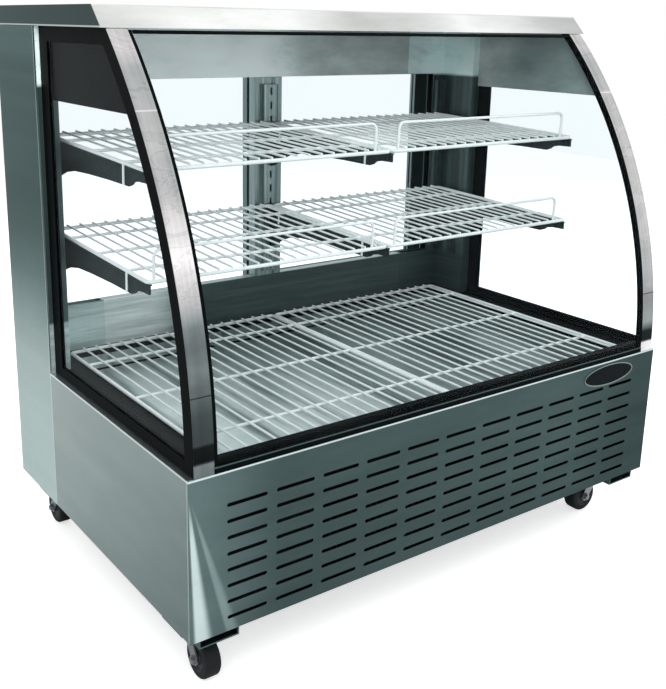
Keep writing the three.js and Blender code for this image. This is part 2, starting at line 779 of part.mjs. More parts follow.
function shelfBracket() {
  const rise = (y) => (y - shelfRearY) * shelfTilt - clearance;
  const front = bracketRearY - bracketLength;
  const under = webProfileShares.map(([along, down]) => {
    const y = bracketRearY - along * bracketLength;
    return [y, rise(y) - down * bracketDepth];
  });
  const web = prism('x', [
    [front, rise(front) - sheet / 2], ...under.reverse(),
    ...hookOutline(-hookDrop - hookSteps * slotStep), ...hookOutline(-hookDrop),
    [bracketRearY, rise(bracketRearY) - sheet / 2],
  ], -webThickness / 2, webThickness / 2);
  const flange = prism('x', [
    [front, rise(front) - sheet], [bracketRearY, rise(bracketRearY) - sheet],
    [bracketRearY, rise(bracketRearY)], [front, rise(front)],
  ], -bracketFlange / 2, bracketFlange / 2);
  return fuse(web, flange);
}

const bracketSolid = shelfBracket();
for (const [level, front] of Object.entries(shelfLevels)) {
  for (const [hand, x] of [['left', -sideStandardX], ['middle', 0], ['right', sideStandardX]]) {
    place(`${level}_bracket_${hand}`, bracketSolid.clone(), 'darkSteel', [x, 0, front + rearRise]);
  }
}

// Welded wire racks: a heavy outer wire, cross rails below and thin wires on top
const rackCorner = 12;
const crossDrop = 0.6;
const wireSides = 6;
const weld = 0.5;

// The rack lies with its rear edge on y = 0, its underside on z = 0 and its middle on x = 0
function wireRack(width, depth, wireCount, railShares) {
  const half = width / 2;
  const ring = prism('z', roundedRectangle(-half, half, -depth, 0, rackCorner, 2), 0, wireBar,
    [roundedRectangle(wireBar - half, half - wireBar, wireBar - depth, -wireBar, rackCorner - wireBar, 1)]);
  const pitch = (width - wireBar) / (wireCount + 1);
  const wires = Array.from({ length: wireCount }, (_, i) => {
    const x = (i + 1) * pitch - half + wireBar / 2;
    return block(x - wireThin / 2, x + wireThin / 2, wireBar / 2 - depth, -wireBar / 2,
      wireBar, wireBar + wireThin);
  });
  const reach = half - wireBar + weld;
  const railTop = wireBar - crossDrop;
  const rails = railShares.map((share) => block(-reach, reach, -depth * share - wireCross / 2,
    -depth * share + wireCross / 2, railTop - wireCross, railTop));
  return fuse(ring, ...wires, ...rails);
}

// The guard is a flat loop of wire that stands on the front bar
const guardHeight = 57;
const guardWire = 6;
const guardCorner = 16;
const guardSteps = 3;
const guardLeft = 12;
const guardRight = 40;

function shelfGuard(width, depth) {
  const left = guardLeft - width / 2;
  const right = width / 2 - guardRight;
  const top = wireBar + guardHeight;
  const foot = wireBar / 2;
  const arch = (inset) => [
    ...arcPoints(right - guardCorner, top - guardCorner, guardCorner - inset, guardCorner - inset,
      0, 1 / 4, guardSteps),
    ...arcPoints(left + guardCorner, top - guardCorner, guardCorner - inset, guardCorner - inset,
      1 / 4, 1 / 2, guardSteps),
  ];
  const outline = [[right, foot], ...arch(0), [left, foot], [left + guardWire, foot],
    ...arch(guardWire).reverse(), [right - guardWire, foot]];
  const middle = -depth + wireBar / 2;
  return prism('y', outline, middle - guardWire / 2, middle + guardWire / 2);
}

// Pegs hang beside the brackets and keep the shelf from sliding
const pegLength = 38;
const pegOutside = 1.5;
const pegInside = 6;
const pegShares = [0.1, 0.82];
const shelfGap = 2;
const shelfSideInset = 54;
const shelfWires = 18;
const shelfRailShares = [0.2, 0.5, 0.8];
const shelfOuter = halfWidth - shelfSideInset;

function wireShelf(side) {
  const width = shelfOuter - shelfGap;
  const outerX = side * (width / 2 + pegOutside);
  const innerX = side * (pegInside - width / 2);
  const pegs = [outerX, innerX].flatMap((x) => pegShares.map((share) => rod('z', wireThin / 2, pegLength,
    [x, -share * shelfDepth, wireBar / 2 - pegLength / 2], wireSides)));
  const rack = wireRack(width, shelfDepth, shelfWires, shelfRailShares);
  return fuse(rack, shelfGuard(width, shelfDepth), ...pegs);
}

const shelfCentre = (shelfOuter + shelfGap) / 2;
for (const [level, front] of Object.entries(shelfLevels)) {
  for (const [hand, side] of [['left', -1], ['right', 1]]) {
    const shelf = place(`${level}_shelf_${hand}`, wireShelf(side), 'whiteWire',
      [side * shelfCentre, shelfRearY, front + rearRise]);
    shelf.rotation.x = Math.atan(shelfTilt);
  }
}

// Deck: a black frame that carries two racks over the stainless pan
const deckFrameHeight = 10;
const deckRise = 2;
const rackBearing = 8;
const rackSideInset = 27;
const rackFrontInset = 3;
const rackBackInset = 21;
const rackWires = 17;
const rackRailShares = [0.155, 0.5, 0.845];
const panFlange = 1.7;
const panFloorDrop = 24;
const panFlangeReach = 20;
const tubSideGap = 2.7;
const tubFrontGap = 7.7;
const tubBackGap = 4;
const tubWall = 25;
const tubDrop = 115;
const tubHalf = narrowWidth - tubSideGap;
const tubFront = frameFront + tubFrontGap;
const tubBack = returnFront - tubBackGap;
const tubBottom = sill - tubDrop;
const tubFloor = tubBottom + tubWall;
const rackHalf = tubHalf - rackSideInset;
const rackFront = tubFront + rackFrontInset;
const rackBack = tubBack - rackBackInset;
const deckTop = sill + deckRise;
const deckBottom = deckTop - deckFrameHeight;
const panTop = deckBottom - clearance;
const panRim = panTop - panFlange;
const tubTop = panRim - clearance;
const airSlotBridge = 40;
const airSlotWidth = 16;
const airSlotInset = 30;
const airSlotCount = 3;

function deckFrame() {
  return openPrism('z', notchedOutline(frameFront, returnFront - clearance, 0), deckBottom, deckTop,
    [rectangle(rackBearing - rackHalf, rackHalf - rackBearing,
      rackFront + rackBearing, rackBack - rackBearing)]);
}

function deckPan() {
  const wide = tubHalf - tubWall - fitGap;
  const front = tubFront + tubWall + fitGap;
  const back = tubBack - tubWall - fitGap;
  const floor = panTop - panFloorDrop;
  const pitch = 2 * (wide - airSlotInset) / airSlotCount;
  const reach = (pitch - airSlotBridge) / 2;
  const slots = [front + airSlotInset, back - airSlotInset].flatMap((y) =>
    Array.from({ length: airSlotCount }, (_, i) => {
      const x = (i - (airSlotCount - 1) / 2) * pitch;
      return block(x - reach, x + reach, y - airSlotWidth / 2, y + airSlotWidth / 2,
        floor - panFloorDrop, floor + panFloorDrop);
    }));
  return cut(
    fuse(
      block(-wide - panFlangeReach, wide + panFlangeReach, front - panFlangeReach, back + panFlangeReach,
        panRim, panTop),
      block(-wide, wide, front, back, floor, panTop)),
    block(-wide + sheet, wide - sheet, front + sheet, back - sheet, floor + sheet, panTop + sheet),
    ...slots);
}

place('deck_frame', deckFrame(), 'blackTrim');
place('deck_pan', deckPan(), 'brightSteel');
const deckRack = wireRack(rackHalf, rackBack - rackFront, rackWires, rackRailShares);
for (const [hand, side] of [['left', -1], ['right', 1]]) {
  place(`deck_rack_${hand}`, deckRack.clone(), 'whiteWire',
    [side * (rackHalf + fitGap) / 2, rackBack, deckTop + clearance]);
}

// Insulated tub with holes for the refrigerant lines and the fan lead
const lineHoleInset = 97;
const lineHoleY = 150;
const lineHoleRadius = 16;
const lineHoleX = tubHalf - tubWall - lineHoleInset;

function insulatedTub() {
  return cut(
    block(-tubHalf, tubHalf, tubFront, tubBack, tubBottom, tubTop),
    block(-tubHalf + tubWall, tubHalf - tubWall, tubFront + tubWall, tubBack - tubWall,
      tubFloor, tubTop + tubWall),
    rod('z', lineHoleRadius, 4 * tubWall, [lineHoleX, lineHoleY, tubFloor], smallSides));
}

place('insulated_tub', insulatedTub(), 'foam');

// Finned coils: a spine that carries a row of fins
const coilSpine = 4;
const finThickness = 1.6;

function finnedCoil(left, right, front, back, low, high, finCount) {
  const root = low + coilSpine;
  const pitch = (right - left - finThickness) / (finCount - 1);
  const teeth = Array.from({ length: finCount }, (_, i) => {
    const x = left + i * pitch;
    return [[x, root], [x, high], [x + finThickness, high], [x + finThickness, root]];
  }).flat();
  return prism('y', [[left, low], ...teeth.slice(1, -1), [right, low]], front, back);
}

const evaporatorWidth = 460;
const evaporatorDepth = 120;
const evaporatorHeight = 54;
const evaporatorFins = 16;
const lineRun = 60;
const evaporatorRight = lineHoleX - lineRun;
const evaporatorFront = lineHoleY - 3 * evaporatorDepth / 4;

place('evaporator_coil', finnedCoil(evaporatorRight - evaporatorWidth, evaporatorRight,
  evaporatorFront, evaporatorFront + evaporatorDepth,
  tubFloor + clearance, tubFloor + evaporatorHeight, evaporatorFins), 'aluminium');

// Fans: a hub with pitched blades that turns on its motor
const bladeCount = 4;
const bladeWidthShare = 0.55;

function fanWheel(axis, radius, hubRadius, thickness) {
  const bladeWidth = radius * bladeWidthShare;
  const pitchAngle = Math.PI / 7;
  const blades = Array.from({ length: bladeCount }, (_, i) => {
    const blade = block(hubRadius - sheet, radius, -bladeWidth / 2, bladeWidth / 2, -sheet / 2, sheet / 2);
    blade.rotateX(pitchAngle);
    blade.rotateZ(2 * Math.PI * i / bladeCount);
    return blade;
  });
  const wheel = fuse(rod('z', hubRadius, thickness, [0, 0, 0], boreSides), ...blades);
  return axis === 'y' ? wheel.rotateX(Math.PI / 2) : wheel;
}

const evapFanX = -300;
const evapFanY = 60;
const evapFanRadius = 62;
const evapHubRadius = 18;
const evapFanThickness = 16;
const evapMotorRadius = 24;
const evapMotorHeight = 20;
const motorArm = 14;
const evapMotorTop = tubFloor + evapMotorHeight;
const evapFanZ = evapMotorTop + clearance + evapFanThickness / 2;

function evaporatorMotor() {
  const arm = evapFanRadius + motorArm;
  return fuse(
    rod('z', evapMotorRadius, evapMotorHeight - clearance,
      [evapFanX, evapFanY, tubFloor + (evapMotorHeight + clearance) / 2], boreSides),
    block(evapFanX - arm, evapFanX + arm, evapFanY - motorArm / 2, evapFanY + motorArm / 2,
      tubFloor + clearance, tubFloor + clearance + sheet));
}

place('evaporator_motor', evaporatorMotor(), 'aluminium');
place('evaporator_fan', fanWheel('z', evapFanRadius, evapHubRadius, evapFanThickness), 'blackTrim',
  [evapFanX, evapFanY, evapFanZ]);

// Condensing unit behind the grille
const condenserX = -150;
const condenserWidth = 300;
const condenserSetback = 28;
const condenserDepth = 58;
const condenserHeight = 158;
const condenserFins = 20;
const condenserFront = frontY + condenserSetback;
const condenserLow = baseBottom + clearance;
const shroudThickness = 3;
const shroudMargin = 4;
const shroudSides = 20;
const fanRadius = 56;
const fanHub = 20;
const fanThickness = 20;
const fanTipGap = 4;
const fanSetback = 12;
const motorRadius = 28;
const motorLength = 46;
const condenserBack = condenserFront + condenserDepth;
const fanZ = condenserLow + condenserHeight / 2;
const shroudY = condenserBack + clearance;
const fanY = shroudY + shroudThickness + fanSetback + fanThickness / 2;
const motorFront = fanY + fanThickness / 2 + clearance;

place('condenser_coil', finnedCoil(condenserX - condenserWidth / 2, condenserX + condenserWidth / 2,
  condenserFront, condenserBack, condenserLow, condenserLow + condenserHeight, condenserFins),
'aluminium');

function condenserShroud() {
  const half = condenserWidth / 2 - shroudMargin;
  const armZ = motorArm / 2;
  const armY = motorFront + motorLength / 2;
  const reach = fanRadius + fanTipGap + motorArm;
  const plate = openPrism('y',
    rectangle(condenserX - half, condenserX + half, condenserLow, condenserLow + condenserHeight),
    shroudY, shroudY + shroudThickness,
    [ellipse(condenserX, fanZ, fanRadius + fanTipGap, fanRadius + fanTipGap, shroudSides)]);
  const legs = [-1, 1].map((side) => block(
    condenserX + side * (reach - shroudThickness), condenserX + side * reach,
    shroudY + shroudThickness / 2, armY + armZ, fanZ - armZ, fanZ + armZ));
  const arm = block(condenserX - reach, condenserX + reach, armY - armZ, armY + armZ,
    fanZ - sheet, fanZ + sheet);
  const motor = rod('y', motorRadius, motorLength, [condenserX, armY, fanZ], boreSides);
  return fuse(plate, ...legs, arm, motor);
}

place('condenser_shroud', condenserShroud(), 'blackSteel');
place('condenser_fan', fanWheel('y', fanRadius, fanHub, fanThickness), 'aluminium',
  [condenserX, fanY, fanZ]);

// Hermetic compressor on its foot plate
const compressorX = 190;
const compressorY = -120;
const compressorRadius = 78;
const compressorHeight = 150;
const compressorDome = 30;
const compressorFoot = 6;
const footLength = 230;
const footWidth = 130;
const stubRadius = 6;
const stubReach = 26;
const stubRise = 90;

function compressor() {
  const low = floorTop + clearance;
  const top = low + compressorHeight;
  const profile = [
    [0, low + compressorFoot / 2], [compressorRadius - compressorDome / 2, low + compressorFoot / 2],
    [compressorRadius, low + compressorDome], [compressorRadius, top - compressorDome],
    [compressorRadius - compressorDome / 2, top - compressorDome / 3], [compressorDome, top], [0, top],
  ];
  const can = new THREE.LatheGeometry(profile.map(([r, h]) => new THREE.Vector2(r, h)), roundSides);
  can.rotateX(Math.PI / 2);
  const foot = prism('z', roundedRectangle(-footLength / 2, footLength / 2, -footWidth / 2, footWidth / 2,
    compressorDome, 2), low, low + compressorFoot);
  const stub = rod('x', stubRadius, stubReach + compressorDome,
    [compressorRadius + (stubReach - compressorDome) / 2, 0, low + stubRise], wireSides);
  return fuse(can, foot, stub);
}

place('compressor', compressor(), 'blackSteel', [compressorX, compressorY, 0]);

// Suction line from the evaporator, down through the tub floor and over to the compressor
const lineRadius = 6;
const lineSteps = 14;
const lineBend = 40;

function suctionLine() {
  const start = compressorX + compressorRadius + stubReach + clearance;
  const z = floorTop + clearance + stubRise;
  const coilEnd = evaporatorRight + clearance;
  const coilZ = tubFloor + evaporatorHeight / 2;
  const path = new THREE.CatmullRomCurve3([
    new THREE.Vector3(start, compressorY, z),
    new THREE.Vector3(start + lineBend, compressorY, z),
    new THREE.Vector3(lineHoleX, compressorY + 2 * lineBend, z),
    new THREE.Vector3(lineHoleX, lineHoleY - lineBend, z + lineBend / 4),
    new THREE.Vector3(lineHoleX, lineHoleY, z + 2 * lineBend),
    new THREE.Vector3(lineHoleX, lineHoleY, coilZ - lineBend / 3),
    new THREE.Vector3(lineHoleX - lineBend / 4, lineHoleY, coilZ),
    new THREE.Vector3(coilEnd, lineHoleY, coilZ),
  ]);
  const section = new THREE.Shape(ellipse(0, 0, lineRadius, lineRadius, wireSides)
    .map(([a, b]) => new THREE.Vector2(a, b)));
  return new THREE.ExtrudeGeometry(section, { steps: lineSteps, extrudePath: path });
}

place('suction_line', suctionLine(), 'copper');

// Sliding doors
function doorPane(left, right, front, margin) {
  const middle = front + doorDepth / 2;
  return block(left + stile - doorRebate - margin, right - stile + doorRebate + margin,
    middle - paneThickness / 2 - margin, middle + paneThickness / 2 + margin,
    doorBottom + stile - doorRebate - margin, doorTop - stile + doorRebate + margin);
}

function doorFrame(left, right, front, pullCentre) {
  const frame = openPrism('y', rectangle(left, right, doorBottom, doorTop), front, front + doorDepth,
    [rectangle(left + stile, right - stile, doorBottom + stile, doorTop - stile)]);
  const pullOutline = roundedRectangle(pullCentre - pullWidth / 2, pullCentre + pullWidth / 2,
    (doorBottom + doorTop - pullLength) / 2, (doorBottom + doorTop + pullLength) / 2, pullWidth / 3, 1);
  const pull = prism('y', pullOutline, front + doorDepth - pullDepth, front + doorDepth + sheet);
  return cut(frame, doorPane(left, right, front, clearance), pull);
}

const pullX = doorReach - stile / 2;
place('left_door_frame', doorFrame(-doorReach, doorOverlap, innerDoorY, -pullX), 'innerSteel');
place('left_door_glass', doorPane(-doorReach, doorOverlap, innerDoorY, 0), 'glass');
place('right_door_frame', doorFrame(-doorOverlap, doorReach, outerDoorY, pullX), 'innerSteel');
place('right_door_glass', doorPane(-doorOverlap, doorReach, outerDoorY, 0), 'glass');

// Top cap: a folded lid whose sloped front carries on the line of the glass
const capFootY = archPoint(archRadius, capBottom)[0] - sheet;
const capSlope = glassHeight / (archCentreY - archPoint(archRadius, capBottom)[0]);
const lidHem = 8;
const ceilingFit = 1;
const sideHeaderInner = 25;
const sideHeaderThickness = 3;
const sideHeaderDrop = 138;
const sideHeaderSetback = 32;
const ceilingLow = capBottom + ceilingFit;
const lampWell = 40;
const lampSetback = 81;
const lampRadius = 8;
const lampLength = 600;
const lampRise = 20;
const lampHolder = 12;
const lampWellMargin = 8;
const lampHalf = lampLength / 2 + lampHolder + lampWellMargin;
const lampY = capFootY + lampSetback;

function capOutline(inset, low) {
  const shift = inset * Math.hypot(1, capSlope);
  const frontAt = (z) => capFootY + (z - capBottom) * capSlope + shift;
  return [
    [frontAt(low), low], [frontAt(capTop - inset), capTop - inset], [backY - inset, capTop - inset],
    [backY - inset, low],
  ];
}

function topCap() {
  return cut(prism('x', capOutline(0, capBottom), -halfWidth, halfWidth),
    prism('x', capOutline(sheet, capBottom - sheet), -halfWidth + sheet, halfWidth - sheet));
}

// The ceiling carries a deep skirt behind the top of each side pane
function sideHeader(side) {
  const outer = halfWidth - sideHeaderInner + sideHeaderThickness;
  const inner = halfWidth - sideHeaderInner;
  return prism('x', archPanel(archRadius - sideHeaderSetback, capBottom - sideHeaderDrop,
    ceilingLow + sheet / 2, panelRear), side > 0 ? inner : -outer, side > 0 ? outer : -inner);
}

function ceilingLiner() {
  const wide = halfWidth - sheet - ceilingFit;
  const front = capFootY + lidHem;
  const back = backY - sheet - ceilingFit;
  const well = rectangle(-lampHalf, lampHalf, lampY - lampWell / 2, lampY + lampWell / 2);
  const holderWide = lampWell / 2 + 2 * sheet;
  const holders = [-1, 1].map((side) => block(side * (lampLength / 2 + clearance),
    side * (lampLength / 2 + clearance + lampHolder), lampY - holderWide, lampY + holderWide,
    ceilingLow, capBottom + lampRise + lampRadius));
  return fuse(openPrism('z', rectangle(-wide, wide, front, back), ceilingLow, ceilingLow + sheet, [well]),
    ...holders, sideHeader(-1), sideHeader(1));
}

place('top_cap', topCap(), 'panelSteel');
place('ceiling_liner', ceilingLiner(), 'innerSteel');
place('lamp_tube', rod('x', lampRadius, lampLength, [0, lampY, capBottom + lampRise], boreSides), 'lamp');

export default caseGroup;
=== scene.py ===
"""Surfaces and finishes of a refrigerated deli display case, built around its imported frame."""

import json
import math
from contextlib import contextmanager

import bmesh
import bpy
from bpy.props import FloatProperty, FloatVectorProperty, IntProperty, PointerProperty
from bpy.types import Operator, Panel, PropertyGroup
from mathutils import Matrix, Vector

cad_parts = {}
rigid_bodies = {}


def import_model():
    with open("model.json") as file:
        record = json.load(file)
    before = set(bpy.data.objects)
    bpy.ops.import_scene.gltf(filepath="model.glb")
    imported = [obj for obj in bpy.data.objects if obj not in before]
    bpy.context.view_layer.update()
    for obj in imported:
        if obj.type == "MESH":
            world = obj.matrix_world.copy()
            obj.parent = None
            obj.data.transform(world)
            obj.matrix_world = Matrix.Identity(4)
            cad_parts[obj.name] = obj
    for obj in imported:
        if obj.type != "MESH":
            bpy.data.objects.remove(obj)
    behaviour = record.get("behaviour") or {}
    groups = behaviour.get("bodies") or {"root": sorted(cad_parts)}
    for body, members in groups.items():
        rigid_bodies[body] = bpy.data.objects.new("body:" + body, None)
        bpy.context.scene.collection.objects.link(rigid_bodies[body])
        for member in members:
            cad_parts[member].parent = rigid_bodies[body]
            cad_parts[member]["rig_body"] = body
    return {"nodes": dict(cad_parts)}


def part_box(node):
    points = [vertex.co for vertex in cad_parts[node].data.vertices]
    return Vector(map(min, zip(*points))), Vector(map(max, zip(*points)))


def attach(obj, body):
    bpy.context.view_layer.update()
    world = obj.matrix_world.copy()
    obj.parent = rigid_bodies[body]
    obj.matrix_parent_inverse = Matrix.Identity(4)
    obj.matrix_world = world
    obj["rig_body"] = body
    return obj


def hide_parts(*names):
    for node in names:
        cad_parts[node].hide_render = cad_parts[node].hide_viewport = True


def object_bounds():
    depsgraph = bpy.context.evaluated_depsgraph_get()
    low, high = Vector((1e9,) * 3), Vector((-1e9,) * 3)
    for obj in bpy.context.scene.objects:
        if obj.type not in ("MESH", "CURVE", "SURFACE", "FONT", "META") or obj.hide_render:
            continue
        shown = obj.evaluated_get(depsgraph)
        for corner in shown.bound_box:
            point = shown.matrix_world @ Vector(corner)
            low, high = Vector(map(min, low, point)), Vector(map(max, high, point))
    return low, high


bl_info = {
    "name": "Deli display case",
    "version": (1, 0, 0),
    "blender": (4, 5, 0),
    "location": "View3D > Sidebar > Display case",
    "description": "Models the surfaces and finishes of a refrigerated deli display case",
    "category": "Object",
}

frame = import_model()
cad_low, cad_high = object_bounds()

MM = 0.001
SIDES = {"left": -1, "right": 1}
LEVELS = ("lower", "upper")
SHEET = 2 * MM

# How finely shapes are made. Corners closer than WELD become one, faces that meet at less than FLAT_ANGLE
# become one, and shading stays crisp across edges sharper than SHARP_ANGLE.
WELD = 0.02 * MM
FLAT_ANGLE = math.radians(0.6)
SHARP_ANGLE = math.radians(38)
ARCH_STEPS = 56
SLOT_END_STEPS = 6
WIRE_SIDES = 10
BEND_STEPS = 5


def length(name, description, default):
    return FloatProperty(name=name, description=description, default=default, unit="LENGTH")


def number_of(name, description, default):
    return IntProperty(name=name, description=description, default=default, min=2)


def colour(name, description, default):
    return FloatVectorProperty(
        name=name, description=description, default=default, subtype="COLOR", size=3, min=0, max=1)


class CaseSizes(PropertyGroup):
    """Sizes of the case's sheets, wires and glass."""

    arch_radius: length("Arch radius", "Outer radius of the curved front", 1.015)
    arch_inset: length("Arch inset", "How far the arch stands behind the front plane", 1 * MM)
    pane: length("Front pane", "Thickness of the bent front pane", 5 * MM)
    trim_skin: length("Trim skin", "Thickness of the polished arch trim's face", 3 * MM)
    trim_leg: length("Trim leg", "Depth of the trim's leg beside the pane", 14 * MM)
    edge: length("Folded edge", "Rounding of folded and cut sheet edges", 0.7 * MM)
    ring_wire: length("Frame wire", "Thickness of a rack's outer wire", 8 * MM)
    thin_wire: length("Thin wire", "Thickness of the wires that goods rest on", 4.6 * MM)
    cross_wire: length("Cross wire", "Thickness of the wires below the thin ones", 6.4 * MM)
    guard_wire: length("Guard wire", "Thickness of a shelf's front guard", 6 * MM)
    guard_height: length("Guard height", "Height of the guard above the frame wire", 57 * MM)
    rack_corner: length("Rack corner", "Outer bend radius of a rack's frame wire", 12 * MM)
    guard_corner: length("Guard corner", "Outer bend radius of a shelf guard", 16 * MM)
    shelf_slope: FloatProperty(
        name="Shelf slope", description="Fall of a shelf towards the customer, as rise over run",
        default=0.0384)
    shelf_wires: number_of("Shelf wires", "Thin wires on one shelf", 18)
    rack_wires: number_of("Rack wires", "Thin wires on one deck rack", 17)
    slot_columns: number_of("Slot columns", "Columns of air slots in the front panel", 11)
    slot_rows: number_of("Slot rows", "Rows of air slots in the front panel", 8)


class CaseColours(PropertyGroup):
    """Colours of the case's finishes, as linear light."""

    side_steel: colour("Side steel", "Brushed stainless of the base sides", (0.36, 0.45, 0.44))
    # Painted shade: the front panel's steel is a darker copy of the same stainless, standing in for a dark
    # floor in its reflection.
    front_steel_shaded: colour("Front steel", "Brushed stainless of the front panel", (0.1, 0.135, 0.135))
    post_steel: colour("Post steel", "Brushed stainless of the rear posts", (0.2, 0.27, 0.265))
    # Painted light: the lid's steel is a lighter copy of the same stainless, standing in for the bright room
    # its sloped front reflects.
    lid_steel_lit: colour("Lid steel", "Brushed stainless of the lid", (0.5, 0.57, 0.56))
    inner_steel: colour("Inner steel", "Satin stainless inside the case", (0.3, 0.37, 0.365))
    trim_steel: colour("Trim steel", "Polished stainless of the arch trims", (0.62, 0.68, 0.68))
    dark_steel: colour("Dark steel", "Painted steel of brackets and standards", (0.028, 0.038, 0.039))
    black: colour("Black", "Matt black plastic and painted trim", (0.0035, 0.005, 0.0052))
    white_wire: colour("White wire", "Coating of the racks and shelves", (0.92, 0.95, 0.94))
    glass_tint: colour("Glass tint", "Light that passes one face of a pane", (0.972, 0.992, 0.999))
    zinc: colour("Zinc", "Plated caster forks", (0.36, 0.38, 0.39))
    tyre: colour("Tyre", "Rubber of the caster wheels", (0.012, 0.013, 0.014))
    floor: colour("Floor", "Studio floor", (0.86, 0.86, 0.86))


def sizes():
    return bpy.context.scene.case_sizes


def colours():
    return bpy.context.scene.case_colours


# Shader maths

class Value:
    """A number in a material. Sums on it add Math nodes."""

    def __init__(self, graph, socket):
        self.graph, self.socket = graph, socket

    def _math(self, operation, *operands):
        return self.graph.node("ShaderNodeMath", {"operation": operation}, dict(enumerate(operands)))

    def __add__(self, other):
        return self._math("ADD", self, other)

    def __radd__(self, other):
        return self._math("ADD", other, self)

    def __sub__(self, other):
        return self._math("SUBTRACT", self, other)

    def __rsub__(self, other):
        return self._math("SUBTRACT", other, self)

    def __mul__(self, other):
        return self._math("MULTIPLY", self, other)

    def __rmul__(self, other):
        return self._math("MULTIPLY", other, self)

    def __truediv__(self, other):
        return self._math("DIVIDE", self, other)

    def __pow__(self, other):
        return self._math("POWER", self, other)


class Graph:
    """The node tree of a material or of the world."""

    # The Mix node's colour sockets share their names with its number and vector sockets.
    MIX_FIRST, MIX_SECOND, MIX_RESULT = 6, 7, 2

    def __init__(self, owner):
        self.owner = owner
        owner.use_nodes = True
        self.tree = owner.node_tree
        self.tree.nodes.clear()

    def node(self, kind, settings=None, values=None, out=0):
        made = self.tree.nodes.new(kind)
        for name, setting in (settings or {}).items():
            if name == "stops":
                self._set_stops(made.color_ramp, setting)
            else:
                setattr(made, name, setting)
        for name, value in (values or {}).items():
            if isinstance(value, Value):
                self.tree.links.new(value.socket, made.inputs[name])
            else:
                made.inputs[name].default_value = value
        return Value(self, made.outputs[out]) if made.outputs else made

    @staticmethod
    def _set_stops(ramp, stops):
        while len(ramp.elements) < len(stops):
            ramp.elements.new(1)
        for element, (position, tone) in zip(ramp.elements, stops):
            element.position = position
            element.color = (tone, tone, tone, 1)

    def place(self):
        return self.node("ShaderNodeTexCoord", out="Object")

    def axis(self, name):
        return self.node("ShaderNodeSeparateXYZ", values={"Vector": self.place()}, out=name)

    def noise(self, scale, stretch=(1, 1, 1), detail=3, roughness=0.55, distortion=0.0):
        mapped = self.node("ShaderNodeMapping", values={"Vector": self.place(), "Scale": stretch})
        return self.node("ShaderNodeTexNoise", values={
            "Vector": mapped, "Scale": scale, "Detail": detail, "Roughness": roughness,
            "Distortion": distortion}, out="Fac")

    def ramp(self, value, stops):
        return self.node("ShaderNodeValToRGB", {"stops": stops}, {"Fac": value}, out="Color")

    def between(self, value, low, high, smooth="SMOOTHSTEP"):
        return self.node("ShaderNodeMapRange", {"interpolation_type": smooth, "clamp": True}, {
            "Value": value, "From Min": low, "From Max": high, "To Min": 0, "To Max": 1})

    def near(self, value, centre, reach):
        """1 where a value lies within reach of a centre, and 0 elsewhere."""
        return self.node("ShaderNodeMath", {"operation": "COMPARE"}, {0: value, 1: centre, 2: reach})

    def larger(self, first, second):
        return self.node("ShaderNodeMath", {"operation": "MAXIMUM"}, {0: first, 1: second})

    def size_of(self, value):
        return self.node("ShaderNodeMath", {"operation": "ABSOLUTE"}, {0: value})

    def scaled(self, colour, tone):
        return self.node("ShaderNodeVectorMath", {"operation": "SCALE"}, {0: colour, "Scale": tone})

    def mixed(self, factor, first, second):
        return self.node("ShaderNodeMix", {"data_type": "RGBA"}, {
            "Factor": factor, self.MIX_FIRST: (*first, 1), self.MIX_SECOND: (*second, 1),
        }, out=self.MIX_RESULT)

    def bump(self, height, strength, distance):
        return self.node("ShaderNodeBump", values={
            "Height": height, "Strength": strength, "Distance": distance}, out="Normal")

    def principled(self, **values):
        return self.node("ShaderNodeBsdfPrincipled", values={
            name.replace("_", " "): value for name, value in values.items()}, out="BSDF")

    def output(self, shader):
        self.node("ShaderNodeOutputMaterial", values={"Surface": shader})
        return self.owner


# Finishes

# Stretch of the brushed streaks and of the clouds, by the axis that the sheet was brushed along
GRAIN = {"X": (0.9, 130, 130), "Y": (130, 0.9, 130), "Z": (130, 130, 0.9)}
CLOUD = {"X": (0.5, 2.4, 2.4), "Y": (2.4, 0.5, 2.4), "Z": (2.4, 2.4, 0.5)}

# Shares of a steel's tint where its tone, with painted shade and reflections, is dark and where it is pale
DARK_TINT = (0.84, 1, 1.01)
PALE_TINT = (1.12, 1, 1)

# Tints of what is mirrored at low angles
STEEL_SHEEN = (0.62, 0.68, 0.68, 1)
PAINT_SHEEN = (0.8, 0.98, 1, 1)


def new_material(name):
    return Graph(bpy.data.materials.new(name))


def steel(name, tint, roughness, grain, mottle, streak, shade=None, metallic=1.0, gloss=0.3):
    """Brushed stainless: fine streaks along the grain under soft clouds of tone. Dark tones are greener."""
    g = new_material(name)
    streaks = g.noise(6, GRAIN[grain], detail=5, roughness=0.7)
    cloud = g.noise(4, CLOUD[grain], detail=4)
    speck = g.noise(55, detail=2)
    tone = 1 + (cloud - 0.5) * mottle + (streaks - 0.5) * streak + (speck - 0.5) * (mottle * 0.4)
    # A shade paints light, shade and reflections into the tone.
    if shade:
        tone = tone * shade(g)
    if callable(metallic):
        metallic = metallic(g)
    light = g.between(tone * tint[1], 0.03, 0.6, "LINEAR")
    dark, pale = ([part * share for part, share in zip(tint, shares)] for shares in (DARK_TINT, PALE_TINT))
    base = g.scaled(g.mixed(light, dark, pale), tone)
    rough = roughness + (streaks - 0.5) * 0.14 + (cloud - 0.5) * 0.08
    return g.output(g.principled(
        Base_Color=base, Metallic=metallic, Roughness=rough,
        Specular_Tint=STEEL_SHEEN, Specular_IOR_Level=gloss,
        Normal=g.bump(streaks, 0.12, 0.05 * MM)))


